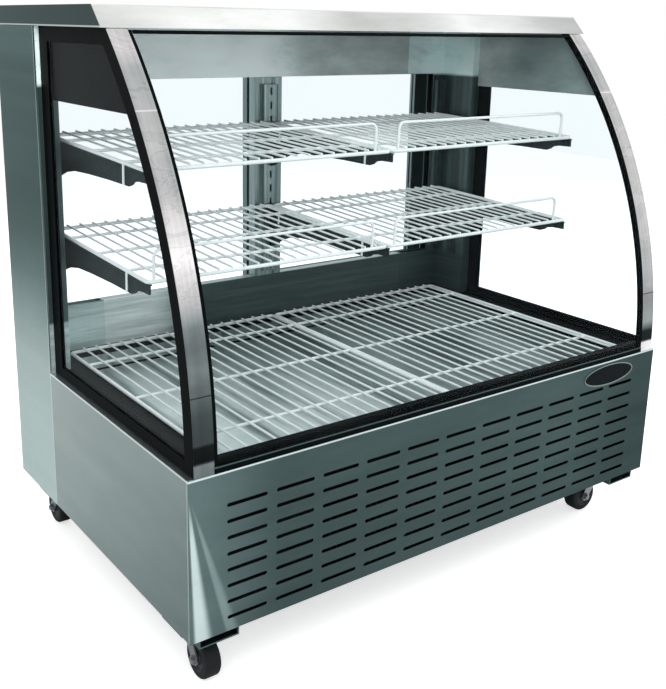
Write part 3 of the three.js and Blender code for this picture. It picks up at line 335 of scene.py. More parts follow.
def painted(name, tint, roughness, speckle, metallic=0.0, coat=0.0, gloss=0.5, shade=None):
    """Powder coat or moulded plastic with a fine orange peel."""
    g = new_material(name)
    peel = g.noise(420, detail=2)
    dust = g.noise(38, detail=5, roughness=0.7)
    tone = 1 + (dust - 0.5) * speckle + (peel - 0.5) * (speckle * 0.5)
    # A shade paints light into the tone.
    if shade:
        tone = tone * shade(g)
    return g.output(g.principled(
        Base_Color=g.scaled(tuple(tint), tone), Roughness=roughness + (dust - 0.5) * 0.2,
        Metallic=metallic, Coat_Weight=coat, Coat_Roughness=0.2,
        Specular_Tint=PAINT_SHEEN, Specular_IOR_Level=gloss,
        Normal=g.bump(peel, 0.12, 0.1 * MM)))


def clear_glass(name, tint, mirror=0.16):
    """A thin pane: the light that passes takes a faint tint, and more is mirrored at low angles."""
    g = new_material(name)
    facing = g.node("ShaderNodeLayerWeight", values={"Blend": 0.5}, out="Facing")
    smear = g.noise(2.2, (1, 1, 0.4), detail=2)
    share = 0.003 + facing ** 6 * mirror + (smear - 0.5) * 0.006
    seen = g.node("ShaderNodeBsdfTransparent", values={"Color": (*tint, 1)})
    shine = g.principled(Base_Color=(0.9, 0.96, 0.97, 1), Metallic=1.0, Roughness=0.03)
    return g.output(g.node("ShaderNodeMixShader", values={0: share, 1: seen, 2: shine}))


def glowing(name, tint, strength):
    """The frosted tube of the lamp."""
    g = new_material(name)
    frost = g.noise(300, detail=2)
    tone = g.scaled(tint, 0.9 + frost * 0.2)
    return g.output(g.principled(
        Base_Color=tone, Roughness=0.35, Emission_Color=tone, Emission_Strength=strength))


# Shades: each gives the share of its finish's tint that a place shows. Heights are above the floor.

# Most shades paint light, shade and reflections into a finish's tint.
BASE_FOOT, BASE_RIM = 120 * MM, 420 * MM
LID_HEM = 1123.5 * MM

# Where the rear opening's edges fade into the header and the sill
OPENING_TOP, OPENING_FOOT = (1004 * MM, 1012 * MM), (521 * MM, 529 * MM)

# How far inside the case's widest face a post's inner faces begin
INSIDE = (2.5 * MM, 4 * MM)

STAFF_TONE = 1.5
LID_TOP_TONE = 1.45

# Ramps of painted reflection as (place, tone): up a post, up a trim, along the lid and across the mullion's
# stripes
POST_REFLECTION_TONES = [(0.0, 3.0), (0.2, 2.8), (0.3, 2.4), (0.38, 1.75), (0.48, 0.95), (0.56, 0.62), (0.72, 0.4),
              (0.85, 0.33), (1.0, 0.5)]
TRIM_REFLECTION_TONES = {
    "left": [(0.0, 0.3), (0.032, 0.34), (0.036, 0.015), (0.076, 0.02), (0.082, 0.1), (0.15, 0.14),
             (0.2, 0.27), (0.25, 0.32), (0.3, 0.25), (0.35, 0.36), (0.4, 0.78), (0.45, 1.0), (0.5, 1.5),
             (0.55, 1.15), (0.65, 0.7), (0.75, 0.74), (0.8, 0.66), (0.9, 0.68), (0.95, 0.95)],
    "right": [(0.0, 1.4), (0.032, 1.4), (0.036, 0.02), (0.07, 0.03), (0.1, 0.6), (0.5, 0.9),
              (0.9, 0.75), (1.0, 0.9)],
}
LID_REFLECTION_TONES = [(0.0, 1.25), (0.07, 1.5), (0.22, 1.75), (0.32, 1.7), (0.45, 1.15), (0.55, 1.2), (0.7, 1.7),
             (0.8, 1.55), (0.93, 1.1), (1.0, 1.0)]
MULLION_REFLECTION_TONES = [(0.38, 1.1), (0.46, 2.6), (0.54, 1.9), (0.62, 3.2)]


def staff_side(g):
    """0 on the faces of the rear wall towards the customer, and 1 behind them."""
    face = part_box("rear_header")[0].y
    return g.between(g.axis("Y"), face + 3 * MM, face + 6 * MM, "LINEAR")


def inside_post(g):
    """0 on a post's outer side and rear, and 1 on its inner faces and return."""
    return g.between(cad_high.x - g.size_of(g.axis("X")), *INSIDE, "LINEAR") * (1 - staff_side(g))


def rear_mixed(g, tone):
    """A painted tone of light and shade for the faces towards the customer, and a plain one for those towards
    the staff.
    """
    rear = staff_side(g)
    return tone * (1 - rear) + rear * STAFF_TONE


def post_metal(g):
    """The inner faces scatter more of the light inside the case."""
    return 1 - inside_post(g) * 0.7


def header_painted_light(g):
    """Painted light: the header is light and cloudy at the left, and darker at the right with painted shade.
    """
    along = g.between(g.axis("X"), -50 * MM, 130 * MM)
    cloud = g.noise(1.0, (9, 9, 22), detail=5, roughness=0.65)
    return (3.4 - along * 1.7) * (1 + (cloud - 0.5) * 1.1)


def header_shade(g):
    return rear_mixed(g, header_painted_light(g))


def sill_shade(g):
    return rear_mixed(g, sill_painted_reflection(g))


def sill_painted_reflection(g):
    """Painted reflection: the rear sill shows a bright patch at its left end, in horizontal streaks."""
    along = g.between(g.axis("X"), -330 * MM, -200 * MM)
    line = g.noise(1.0, (5, 5, 90), detail=4, roughness=0.65)
    return (2.3 - along * 2.06) * (0.35 + line * 1.3)


def post_shade(hand):
    """Painted reflection: the outer face darkens in soft bands towards the lid. The inner faces follow the
    sill and header.
    """
    side = SIDES[hand]

    def shade(g):
        # Painted reflection on the outer face, in bands that darken towards the lid.
        height = g.between(g.axis("Z"), BASE_FOOT, cad_high.z, "LINEAR")
        band = g.noise(1.0, (0.8, 0.8, 26), detail=2)
        upper = g.between(height, 0.55, 0.95)
        sway = height + (g.noise(1.2, (1, 3, 2.4), detail=3) - 0.5) * 0.08
        outer = g.ramp(sway, POST_REFLECTION_TONES) * (1 + (band - 0.5) * (0.15 + upper * 0.75))
        # Painted shade in stripes on the inner faces, lighter on the left post.
        stripe = g.noise(1.0, (38, 38, 0.5), detail=2)
        speck = g.noise(1.0, (60, 60, 30), detail=4, roughness=0.7)
        middle = (stripe - 0.25) * (0.7 + speck * 0.6) * (0.9 if side > 0 else 1.3)
        # At the top and foot the inner faces take the header's painted light and the sill's painted
        # reflection.
        top = g.between(g.axis("Z"), *OPENING_TOP, "LINEAR")
        foot = 1 - g.between(g.axis("Z"), *OPENING_FOOT, "LINEAR")
        inner = middle * (1 - top) * (1 - foot) + top * header_painted_light(g) * 1.9 + foot * sill_painted_reflection(g)
        inside = inside_post(g)
        # A painted highlight along the front fold of the outer face.
        fold_highlight = g.near(g.axis("Y"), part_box(hand + "_rear_post")[0].y, 1.6 * MM)
        return outer * (1 - inside) + inside * inner * 1.2 + fold_highlight * (1 - inside) * 1.4

    return shade


def side_shade(g):
    """Painted light: the side panel is lightest at its top rear and dims towards the lower front, in flat
    clouds.
    """
    along = g.between(g.axis("Y"), cad_low.y, cad_high.y, "LINEAR")
    height = g.between(g.axis("Z"), BASE_FOOT, BASE_RIM, "LINEAR")
    cloud = g.noise(1.0, (4, 3, 13), detail=4, roughness=0.6)
    # Painted highlights along the top edge and the front corner.
    top = g.between(g.axis("Z"), BASE_RIM - 4.5 * MM, BASE_RIM - 2.5 * MM)
    corner = g.near(g.axis("Y"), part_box("left_base_panel")[0].y, 2.5 * MM)
    return 0.72 + along * 0.62 + height * 0.12 + (cloud - 0.5) * 0.36 + (top + corner * 0.5) * 0.9


def front_shade(g):
    """Painted reflection: the front panel shows a darker floor, with two painted light rays that widen from
    its upper left corner.
    """
    along = g.between(g.axis("X"), cad_low.x, cad_high.x, "LINEAR")
    height = g.axis("Z")
    corner = BASE_RIM - 20 * MM
    slant = (g.axis("X") - cad_low.x) / g.larger(corner - height, 4 * MM)
    lit = g.between(height, corner, corner - 100 * MM)

    # A painted light ray between two slants from the upper left corner.
    def ray(start, full, fading, end):
        return g.between(slant, start, full) * (1 - g.between(slant, fading, end)) * lit

    rays = ray(0.02, 0.05, 0.1, 0.17) * 5.2 + ray(0.24, 0.27, 0.3, 0.36) * 1.3
    # Painted light at the left end, painted shade at the right end and a painted highlight along the top
    # edge.
    left = 1 - g.between(along, 0.0, 0.16)
    right = g.between(along, 0.72, 1.0)
    top = g.between(height, BASE_RIM - 4.5 * MM, BASE_RIM - 2.8 * MM)
    cloud = g.noise(1.0, (3, 3, 14), detail=4)
    return 0.85 + left * 0.75 + rays + top * 5.5 - right * 0.3 + (cloud - 0.5) * 0.5


def trim_shade(hand):
    """Painted reflection on the polished strip: a light foot, a black joint, a dark floor and a bright room
    above.
    """
    def shade(g):
        height = g.axis("Z")
        body = g.ramp(g.between(height, BASE_RIM, 1120 * MM, "LINEAR"), TRIM_REFLECTION_TONES[hand])
        streak = g.noise(1.0, (70, 2, 2), detail=3)
        wave = g.noise(1.0, (9, 5, 22), detail=3, distortion=1.1)
        # Painted reflection: thin rippled lines across the strip's middle.
        reflected_ripple = g.near(wave, 0.5, 0.012) * g.between(height, 620 * MM, 750 * MM)
        # A dark joint line, with a faint share of the painted ripple lines.
        joint = g.near(height, 555 * MM, 1.1 * MM) + reflected_ripple * 0.16
        # A painted glint across the strip.
        glint = g.near(height, 992 * MM, 1.3 * MM)
        tone = body * (1 + (streak - 0.5) * 0.7 + (wave - 0.5) * 0.5)
        return tone * (1 - joint * 0.7) + glint * 0.35

    return shade


def lid_shade(g):
    """Painted reflection: the lid's ends show a dark room, and its sloped front a bright one. The hem has a
    painted highlight.
    """
    inward = g.between(cad_high.x - g.size_of(g.axis("X")), 0.6 * MM, 2.4 * MM, "LINEAR")
    # A painted highlight along the hem.
    hem = g.between(LID_HEM - g.axis("Z"), 0, 1 * MM, "LINEAR")
    cloud = g.noise(1.0, (7, 20, 26), detail=4)
    along = g.between(g.axis("X"), cad_low.x, cad_high.x, "LINEAR")
    front = 1 - g.between(g.axis("Z"), cad_high.z - 3 * MM, cad_high.z - 1 * MM, "LINEAR")
    face = (g.ramp(along, LID_REFLECTION_TONES) - LID_TOP_TONE) * front + LID_TOP_TONE
    return (0.1 + hem * 0.9) * (1 - inward) + inward * face * (1 + (cloud - 0.5) * 0.4)


def liner_shade(g):
    """Black, apart from the inner faces of the skirts, which take the header's painted light and shade."""
    across = g.size_of(g.axis("X"))
    skirt = g.near(across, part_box("ceiling_liner")[1].x - 22 * MM, 1.5 * MM)
    # Painted light on the skirts that grows towards the rear.
    rear = g.between(g.axis("Y"), 0.0, 190 * MM)
    return 0.015 + skirt * header_painted_light(g) * (0.5 + rear * 0.5)


def pan_shade(g):
    """Painted light: the pan is bright towards the customer's left, with painted reflections of dark streaks
    elsewhere.
    """
    along = g.between(g.axis("X") + g.axis("Y") * 0.8, -600 * MM, 150 * MM)
    # Painted reflection of dark streaks.
    streak = g.noise(1.0, (22, 1.6, 1), detail=4, roughness=0.6)
    return (2.2 - along * 1.4) * (0.35 + g.between(streak, 0.34, 0.56) * 0.65)


def sill_lip_highlight(g):
    """Black, with a painted highlight line on top of the lip that holds the front pane."""
    low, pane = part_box("sill_trim")[0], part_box("front_glass")[0]
    lip = g.near(g.axis("Z"), pane.z, 1.2 * MM)
    return 1 + lip * (1 - g.between(g.axis("Y"), low.y + 2 * MM, low.y + 4 * MM)) * 24


def mullion_shade(g):
    """Painted reflection: upright stripes of what stands in front of the folded strip."""
    stripe = g.noise(1.0, (95, 20, 0.6), detail=2)
    return g.ramp(stripe, MULLION_REFLECTION_TONES)


def scaled_tint(tint, share):
    return [part * share for part in tint]


def finishes():
    """Makes each finish once and returns them by name."""
    c = colours()
    # Tint, roughness, grain, mottle, streak, shade, metallic, gloss
    steels = {
        "side_steel": (c.side_steel, 0.32, "Y", 0.1, 0.1, side_shade),
        "front_steel_shaded": (c.front_steel_shaded, 0.3, "X", 0.2, 0.2, front_shade),
        "rear_steel": (c.side_steel, 0.34, "X", 0.16, 0.12),
        "lid_steel_lit": (c.lid_steel_lit, 0.26, "X", 0.06, 0.06, lid_shade),
        "header_steel": (c.inner_steel, 0.4, "X", 0.1, 0.08, header_shade, 0.3, 0.1),
        "liner_steel": (c.inner_steel, 0.4, "Y", 0.1, 0.08, liner_shade, 0.0, 0.01),
        "rear_sill_steel": (c.inner_steel, 0.4, "X", 0.2, 0.2, sill_shade, 0.3, 0.1),
        # Painted shade: the mullion's steel is a darker copy of the inner steel.
        "mullion_steel_shaded": (scaled_tint(c.inner_steel, 0.4), 0.34, "Z", 0.3, 0.3, mullion_shade),
        "pan_steel": (c.inner_steel, 0.32, "X", 0.3, 0.1, pan_shade, 0.4, 0.2),
        "chassis_steel": ((0.13, 0.17, 0.17), 0.45, "X", 0.3, 0.2),
        "zinc_plate": (c.zinc, 0.34, "Z", 0.5, 0.1),
        # Painted shade: the coils' fins are darkened for the shade they stand in.
        "fin_aluminium_shaded": ((0.1, 0.11, 0.11), 0.42, "Z", 0.2, 0.1),
        "door_aluminium": ((0.2, 0.24, 0.24), 0.36, "Z", 0.12, 0.1),
        "copper_pipe": ((0.72, 0.34, 0.19), 0.3, "Z", 0.3, 0.05),
    }
    for hand in SIDES:
        steels[hand + "_post_steel"] = (c.post_steel, 0.3, "Z", 0.08, 0.1, post_shade(hand), post_metal)
        steels[hand + "_trim_steel"] = (c.trim_steel, 0.14, "Y", 0.05, 0.02, trim_shade(hand))
    # Tint, roughness, speckle, metallic, coat, gloss, shade
    paints = {
        "bracket_paint": (c.dark_steel, 0.45, 1.1, 0.2, 0.0, 0.04),
        "black_trim": (c.black, 0.42, 0.5, 0.0, 0.0, 0.012, sill_lip_highlight),
        "deck_black": (scaled_tint(c.black, 1.4), 0.4, 1.2, 0.0, 0.0, 0.03),
        "white_coating": (c.white_wire, 0.3, 0.08, 0.0, 0.3),
        "tyre_rubber": (c.tyre, 0.6, 0.5, 0.0, 0.0, 0.2),
        "hub_plastic": (scaled_tint(c.tyre, 2.2), 0.45, 0.3, 0.0, 0.0, 0.25),
        # Painted shade: the tub's skin is near black, for the shade seen through the front slots.
        "tub_skin_painted_shade": ((0.012, 0.014, 0.014), 0.6, 0.2, 0.0, 0.0, 0.05),
        "badge_face": (scaled_tint(c.black, 2.2), 0.4, 0.5, 0.0, 0.0, 0.02),
        "badge_rim": ((0.24, 0.29, 0.29), 0.35, 0.3, 0.6),
        "knob_plastic": (scaled_tint(c.black, 1.5), 0.35, 0.3, 0.0, 0.0, 0.3),
    }
    return {
        **{name: steel(name, *values) for name, values in steels.items()},
        **{name: painted(name, *values) for name, values in paints.items()},
        "clear_glass": clear_glass("clear_glass", c.glass_tint),
        "lamp_frost": glowing("lamp_frost", (0.95, 0.98, 0.97), strength=10.0),
    }


FINISH = {}


# Modelling by hand

def activate(*pieces):
    bpy.ops.object.select_all(action="DESELECT")
    for piece in pieces:
        piece.select_set(True)
    bpy.context.view_layer.objects.active = pieces[0]


@contextmanager
def editing(piece):
    """Opens a piece in edit mode with all its faces selected."""
    activate(piece)
    bpy.ops.object.mode_set(mode="EDIT")
    bpy.ops.mesh.select_mode(type="FACE")
    bpy.ops.mesh.select_all(action="SELECT")
    yield piece
    bpy.ops.object.mode_set(mode="OBJECT")


def pick_faces(piece, test):
    """Selects the faces of a piece in edit mode that pass a test."""
    mesh = bmesh.from_edit_mesh(piece.data)
    bpy.ops.mesh.select_all(action="DESELECT")
    for face in mesh.faces:
        face.select_set(test(face))
    bmesh.update_edit_mesh(piece.data)


def outline(name, points):
    """A flat face whose corners are the given points."""
    bpy.ops.object.select_all(action="DESELECT")
    bpy.ops.mesh.primitive_circle_add(vertices=len(points), radius=1, fill_type="NGON")
    piece = bpy.context.object
    piece.name = name
    for vertex, point in zip(piece.data.vertices, points):
        vertex.co = point
    return piece


def disc(name, centre, normal, radius, sides):
    """A round face at its place, turned to its normal."""
    bpy.ops.object.select_all(action="DESELECT")
    turn = Vector(normal).to_track_quat("Z", "Y").to_euler()
    bpy.ops.mesh.primitive_circle_add(
        vertices=sides, radius=radius, fill_type="NGON", location=centre, rotation=turn)
    piece = bpy.context.object
    piece.name = name
    settle(piece)
    return piece


def extrude(move):
    bpy.ops.mesh.extrude_region_move(TRANSFORM_OT_translate={"value": tuple(move)})


def spin(centre, axis, angle, steps):
    """Turns the selected faces about an axis by the right-hand rule. The tool's own sign is the other way."""
    bpy.ops.mesh.spin(steps=steps, angle=-angle, center=tuple(centre), axis=tuple(axis))


def settle(piece):
    """Puts a piece's place into its mesh."""
    activate(piece)
    bpy.ops.object.transform_apply(location=True, rotation=True, scale=True)


def clean(piece):
    """Joins doubled corners and turns every face outwards."""
    with editing(piece):
        bpy.ops.mesh.remove_doubles(threshold=WELD)
        bpy.ops.mesh.normals_make_consistent(inside=False)


def use_modifier(piece, kind, **settings):
    activate(piece)
    made = piece.modifiers.new(kind.lower(), kind)
    for name, setting in settings.items():
        setattr(made, name, setting)
    bpy.ops.object.modifier_apply(modifier=made.name)


def round_edges(piece, width, segments=2):
    use_modifier(piece, "BEVEL", width=width, segments=segments, limit_method="ANGLE",
                 angle_limit=SHARP_ANGLE, use_clamp_overlap=True, miter_outer="MITER_ARC")


def repeat(piece, count, step):
    use_modifier(piece, "ARRAY", count=count, use_relative_offset=False,
                 use_constant_offset=True, constant_offset_displace=tuple(step))


def cut_out(piece, tool):
    use_modifier(piece, "BOOLEAN", operation="DIFFERENCE", solver="EXACT", object=tool)
    bpy.data.objects.remove(tool)


def duplicate(piece, name, matrix=Matrix.Identity(4)):
    made = bpy.data.objects.new(name, piece.data.copy())
    bpy.context.scene.collection.objects.link(made)
    made.data.transform(matrix)
    return made


def joined(name, pieces):
    activate(*pieces)
    bpy.ops.object.join()
    pieces[0].name = name
    return pieces[0]


def complete(piece, finish, body, slot, *nodes):
    """Smooths and finishes a piece, which then rides on its body in place of the nodes."""
    activate(piece)
    bpy.ops.object.shade_smooth_by_angle(angle=SHARP_ANGLE)
    use_modifier(piece, "WEIGHTED_NORMAL", keep_sharp=True)
    piece.data.materials.clear()
    piece.data.materials.append(FINISH[finish])
    for face in piece.data.polygons:
        face.material_index = 0
    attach(piece, body)
    if nodes:
        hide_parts(*nodes)
    return piece


def body_of(node):
    return frame["nodes"][node]["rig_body"]


def dress(node, finish, slot, width=None, segments=2, tool=None, merge=True):
    """A copy of a part with rounded edges and smooth curves; merge makes its flat faces whole."""
    piece = bpy.data.objects.new(node + "_surface", frame["nodes"][node].data.copy())
    bpy.context.scene.collection.objects.link(piece)
    with editing(piece):
        bpy.ops.mesh.remove_doubles(threshold=WELD)
        if merge:
            bpy.ops.mesh.dissolve_limited(angle_limit=FLAT_ANGLE)
            bpy.ops.mesh.vert_connect_concave()
    if tool:
        cut_out(piece, tool)
    width = sizes().edge if width is None else width
    if width:
        round_edges(piece, width, segments)
    return complete(piece, finish, body_of(node), slot, node)


class CaseOperator:
    """What the case's operators share."""

    bl_options = {"REGISTER", "UNDO"}

    def execute(self, context):
        self.make()
        return {"FINISHED"}


# The curved front

def arch_centre():
    s = sizes()
    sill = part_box("left_base_panel")[1].z
    return Vector((0, cad_low.y + s.arch_inset + s.arch_radius, sill))


def arch_turn(height, radius):
    """The turn above the horizon at which the arch reaches a height."""
    return math.asin((height - arch_centre().z) / radius)


def arch_strip(name, across, outer, inner, low, high):
    """A bent strip: its section is drawn at the foot and spun up the arch."""
    centre = arch_centre()
    start, end = arch_turn(low, outer), arch_turn(high, outer)
    ray = Vector((0, -math.cos(start), math.sin(start)))
    corners = [(across[0], outer), (across[1], outer), (across[1], inner), (across[0], inner)]
    piece = outline(name, [Vector((x, 0, 0)) + centre + ray * radius for x, radius in corners])
    with editing(piece):
        spin(centre, (-1, 0, 0), end - start, ARCH_STEPS)
    clean(piece)
    return piece


class DELICASE_OT_front_pane(CaseOperator, Operator):
    """Bend the clear front pane"""

    bl_idname = "deli_case.front_pane"
    bl_label = "Front pane"

    set_back = 0.7 * MM
    seal_height = 5 * MM
    seal_faces = (2.2 * MM, 0.2 * MM)

    def make(self):
        low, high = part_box("front_glass")
        outer = sizes().arch_radius - self.set_back
        piece = arch_strip("front_pane", (low.x, high.x), outer, outer - sizes().pane, low.z, high.z)
        round_edges(piece, 0.8 * MM)
        complete(piece, "clear_glass", "cabinet", "glass", "front_glass")
        seal = arch_strip("pane_seal", (low.x, high.x), *(outer + face for face in self.seal_faces),
                          high.z - self.seal_height, high.z)
        complete(seal, "black_trim", "cabinet", "black_trim")


class DELICASE_OT_arch_trims(CaseOperator, Operator):
    """Bend the two polished strips that hold the front pane's ends"""

    bl_idname = "deli_case.arch_trims"
    bl_label = "Arch trims"

    leg_width = 2 * MM
    lap = 0.1 * MM

    def make(self):
        s = sizes()
        for hand, side in SIDES.items():
            low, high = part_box(hand + "_arch_trim")
            inner = low.x if side > 0 else high.x
            outer = high.x if side > 0 else low.x
            back = s.arch_radius - s.trim_skin
            face = arch_strip(hand + "_trim_face", (inner, outer), s.arch_radius, back, low.z, high.z)
            leg = arch_strip(hand + "_trim_leg", (inner, inner + side * self.leg_width),
                             back + self.lap, back - s.trim_leg, low.z, high.z)
            round_edges(face, 0.9 * MM, segments=3)
            round_edges(leg, 0.5 * MM)
            complete(face, hand + "_trim_steel", "cabinet", "bright_steel", hand + "_arch_trim")
            complete(leg, "black_trim", "cabinet", "black_trim")


class DELICASE_OT_side_windows(CaseOperator, Operator):
    """Dress the black side frames and their panes"""

    bl_idname = "deli_case.side_windows"
    bl_label = "Side windows"

    def make(self):
        for hand in SIDES:
            dress(hand + "_glass_frame", "black_trim", "black_trim", 1.2 * MM, segments=3, merge=False)
            dress(hand + "_side_glass", "clear_glass", "glass", 0.5 * MM)


# Base

def flat_block(name, face, depth, corners):
    """A block whose front has the given corners (x, z) and stands at y face."""
    piece = outline(name, [Vector((x, face, z)) for x, z in corners])
    with editing(piece):
        extrude((0, depth, 0))
    clean(piece)
    return piece


def turns(count):
    """Angles that share a full turn evenly."""
    return [math.tau * i / count for i in range(count)]


def rectangle(left, right, low, high):
    return [(left, low), (right, low), (right, high), (left, high)]


def slot_field(face, first, size, counts, pitch):
    """Bars with round ends, in rows and columns, that punch slots. Rows go down from the first."""
    end = size[1] / 2
    reach = size[0] / 2 - end
    sweep = [math.pi * (i / SLOT_END_STEPS - 0.5) for i in range(SLOT_END_STEPS + 1)]
    right = [(reach + end * math.cos(t), end * math.sin(t)) for t in sweep]
    corners = [(first[0] + x, first[1] + z) for x, z in right + [(-x, -z) for x, z in right]]
    tool = flat_block("slot_tool", face - 2 * SHEET, 5 * SHEET, corners)
    repeat(tool, counts[0], (pitch[0], 0, 0))
    repeat(tool, counts[1], (0, 0, -pitch[1]))
    return tool


def flange(face, reach, inset, low, high, edge):
    """The folded edge behind a panel, along its foot or its top."""
    inward = SHEET if edge == low.z else -SHEET
    return flat_block("flange", face, reach, rectangle(
        low.x + inset, high.x - inset, *sorted((edge, edge + inward))))


class DELICASE_OT_front_panel(CaseOperator, Operator):
    """Fold the front panel and punch its field of air slots"""

    bl_idname = "deli_case.front_panel"
    bl_label = "Front panel"

    slot_size = (80 * MM, 6.5 * MM)
    slot_inset = 113.5 * MM
    top_row = 62.5 * MM
    row_pitch = 30.2 * MM
    flange_inset = 24.3 * MM

    def make(self):
        s = sizes()
        low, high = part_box("front_grille")
        piece = flat_block("front_panel", low.y, SHEET, rectangle(low.x, high.x, low.z, high.z))
        flanges = [flange(low.y + SHEET / 2, high.y - low.y - SHEET / 2, self.flange_inset, low, high, z)
                   for z in (low.z, high.z)]
        pitch = (cad_high.x - cad_low.x - 2 * self.slot_inset) / (s.slot_columns - 1)
        cut_out(piece, slot_field(
            low.y, (cad_low.x + self.slot_inset, high.z - self.top_row), self.slot_size,
            (s.slot_columns, s.slot_rows), (pitch, self.row_pitch)))
        round_edges(piece, 0.6 * MM)
        complete(joined("front_panel", [piece, *flanges]), "front_steel_shaded", "cabinet", "panel_steel",
                 "front_grille")


class DELICASE_OT_rear_panel(CaseOperator, Operator):
    """Fold the rear base panel with its vents, switch window and shaft hole"""

    bl_idname = "deli_case.rear_panel"
    bl_label = "Rear base panel"

    pitch_share = 0.53
    shift_share = 0.106
    vent_bridge = 40 * MM
    vent_width = 8 * MM
    rows = 6
    row_pitch = 26 * MM
    rise = 40 * MM
    window = (12 * MM, 16 * MM)
    shaft_hole = 4.6 * MM
    hole_corners = 24

    def make(self):
        low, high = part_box("rear_base_panel")
        face = high.y - SHEET
        piece = flat_block("rear_panel", face, SHEET, rectangle(low.x, high.x, low.z, high.z))
        pitch = high.x * self.pitch_share
        top_row = low.z + self.rise + (self.rows - 1) * self.row_pitch
        cut_out(piece, slot_field(
            face, (high.x * self.shift_share - pitch / 2, top_row),
            (pitch - self.vent_bridge, self.vent_width), (2, self.rows), (pitch, self.row_pitch)))
        switch, knob = (sum(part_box(node), Vector()) / 2 for node in ("power_switch", "thermostat_knob"))
        x, z = self.window
        cut_out(piece, flat_block("window", face - SHEET, 3 * SHEET, rectangle(
            switch.x - x, switch.x + x, switch.z - z, switch.z + z)))
        cut_out(piece, flat_block("shaft_hole", face - SHEET, 3 * SHEET, [
            (knob.x + self.shaft_hole * math.cos(t), knob.z + self.shaft_hole * math.sin(t))
            for t in turns(self.hole_corners)]))
        round_edges(piece, 0.5 * MM)
        edge = flange(low.y, face - low.y + SHEET / 2, 0, low, high, high.z)
        complete(joined("rear_panel", [piece, edge]), "rear_steel", "cabinet", "panel_steel",
                 "rear_base_panel")


class DELICASE_OT_badge(CaseOperator, Operator):
    """Press the blank oval badge with its raised rim"""

    bl_idname = "deli_case.badge"
    bl_label = "Badge"

    rim = 2.6 * MM
    recess = 0.6 * MM
    corners = 72
    face_share = 0.995

    def make(self):
        low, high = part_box("badge")
        middle, half = (low + high) / 2, (high - low) / 2
        piece = outline("badge_plate", [
            Vector((middle.x + half.x * math.cos(t), high.y, middle.z + half.z * math.sin(t)))
            for t in turns(self.corners)])
        with editing(piece):
            extrude((0, low.y - high.y, 0))
            bpy.ops.mesh.inset(thickness=self.rim, depth=0)
            bpy.ops.transform.translate(value=(0, self.recess, 0))
        clean(piece)
        round_edges(piece, 0.3 * MM)
        complete(piece, "badge_face", "cabinet", "black_trim", "badge")
        piece.data.materials.append(FINISH["badge_rim"])
        for face in piece.data.polygons:
            spread = math.hypot((face.center.x - middle.x) / (half.x - self.rim),
                                (face.center.z - middle.z) / (half.z - self.rim))
            face.material_index = int(spread > self.face_share)


class DELICASE_OT_base(CaseOperator, Operator):
    """Dress the folded sheets of the base and the chassis below them"""

    bl_idname = "deli_case.base"
    bl_label = "Base"

    def make(self):
        for hand in SIDES:
            dress(hand + "_base_panel", "side_steel", "panel_steel", 0.9 * MM, segments=3)
        dress("chassis", "chassis_steel", "black_steel", merge=False)
        dress("sill_trim", "black_trim", "black_trim", 0.8 * MM, merge=False)


# Body behind the glass

class DELICASE_OT_posts(CaseOperator, Operator):
    """Dress the rear posts, sill, header and mullion"""

    bl_idname = "deli_case.posts"
    bl_label = "Posts and rear wall"

    return_edge = 530 * MM
    spare = 10 * MM

    def wider_opening(self, hand):
        """A block that cuts a post's return back between the rear sill and the header."""
        low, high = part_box("centre_mullion")
        reach = min(abs(corner.x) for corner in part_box(hand + "_rear_post"))
        across = sorted(SIDES[hand] * x for x in (reach - self.spare, self.return_edge))
        return flat_block("opening", low.y - self.spare, high.y - low.y + 1.5 * self.spare,
                          rectangle(*across, low.z, high.z))

    def make(self):
        for hand in SIDES:
            dress(hand + "_rear_post", hand + "_post_steel", "panel_steel", 0.6 * MM,
                  tool=self.wider_opening(hand))
        dress("rear_sill_panel", "rear_sill_steel", "inner_steel")
        dress("rear_header", "header_steel", "inner_steel")
        dress("centre_mullion", "mullion_steel_shaded", "inner_steel", 0.5 * MM)


class DELICASE_OT_lid(CaseOperator, Operator):
    """Dress the folded lid, the ceiling liner and the lamp"""

    bl_idname = "deli_case.lid"
    bl_label = "Lid and ceiling"

    def make(self):
        dress("top_cap", "lid_steel_lit", "panel_steel", 1.2 * MM, segments=3)
        dress("ceiling_liner", "liner_steel", "black_steel", 0.5 * MM, merge=False)
        dress("lamp_tube", "lamp_frost", "lamp", 0.5 * MM)


class DELICASE_OT_brackets(CaseOperator, Operator):
    """Dress the six shelf brackets"""

    bl_idname = "deli_case.brackets"
    bl_label = "Shelf brackets"

    def make(self):
        for level in LEVELS:
            for hand in ("left", "middle", "right"):
                dress(f"{level}_bracket_{hand}", "bracket_paint", "dark_steel", 0.5 * MM)


# Wire goods

def wire(name, start, heading, thickness, moves):
    """A round wire drawn out of a disc through straights and bends. A bend names its centre and turn."""
    piece = disc(name, start, heading, thickness / 2, WIRE_SIDES)
    with editing(piece):
        for kind, *values in moves:
            if kind == "run":
                extrude(values[0])
            else:
                centre, axis, angle = values
                spin(centre, axis, angle, BEND_STEPS)
    clean(piece)
    return piece


def bar(name, start, end, thickness):
    """A straight wire with rounded ends."""
    run = Vector(end) - Vector(start)
    piece = wire(name, start, run, thickness, [("run", run)])
    round_edges(piece, 0.25 * thickness)
    return piece


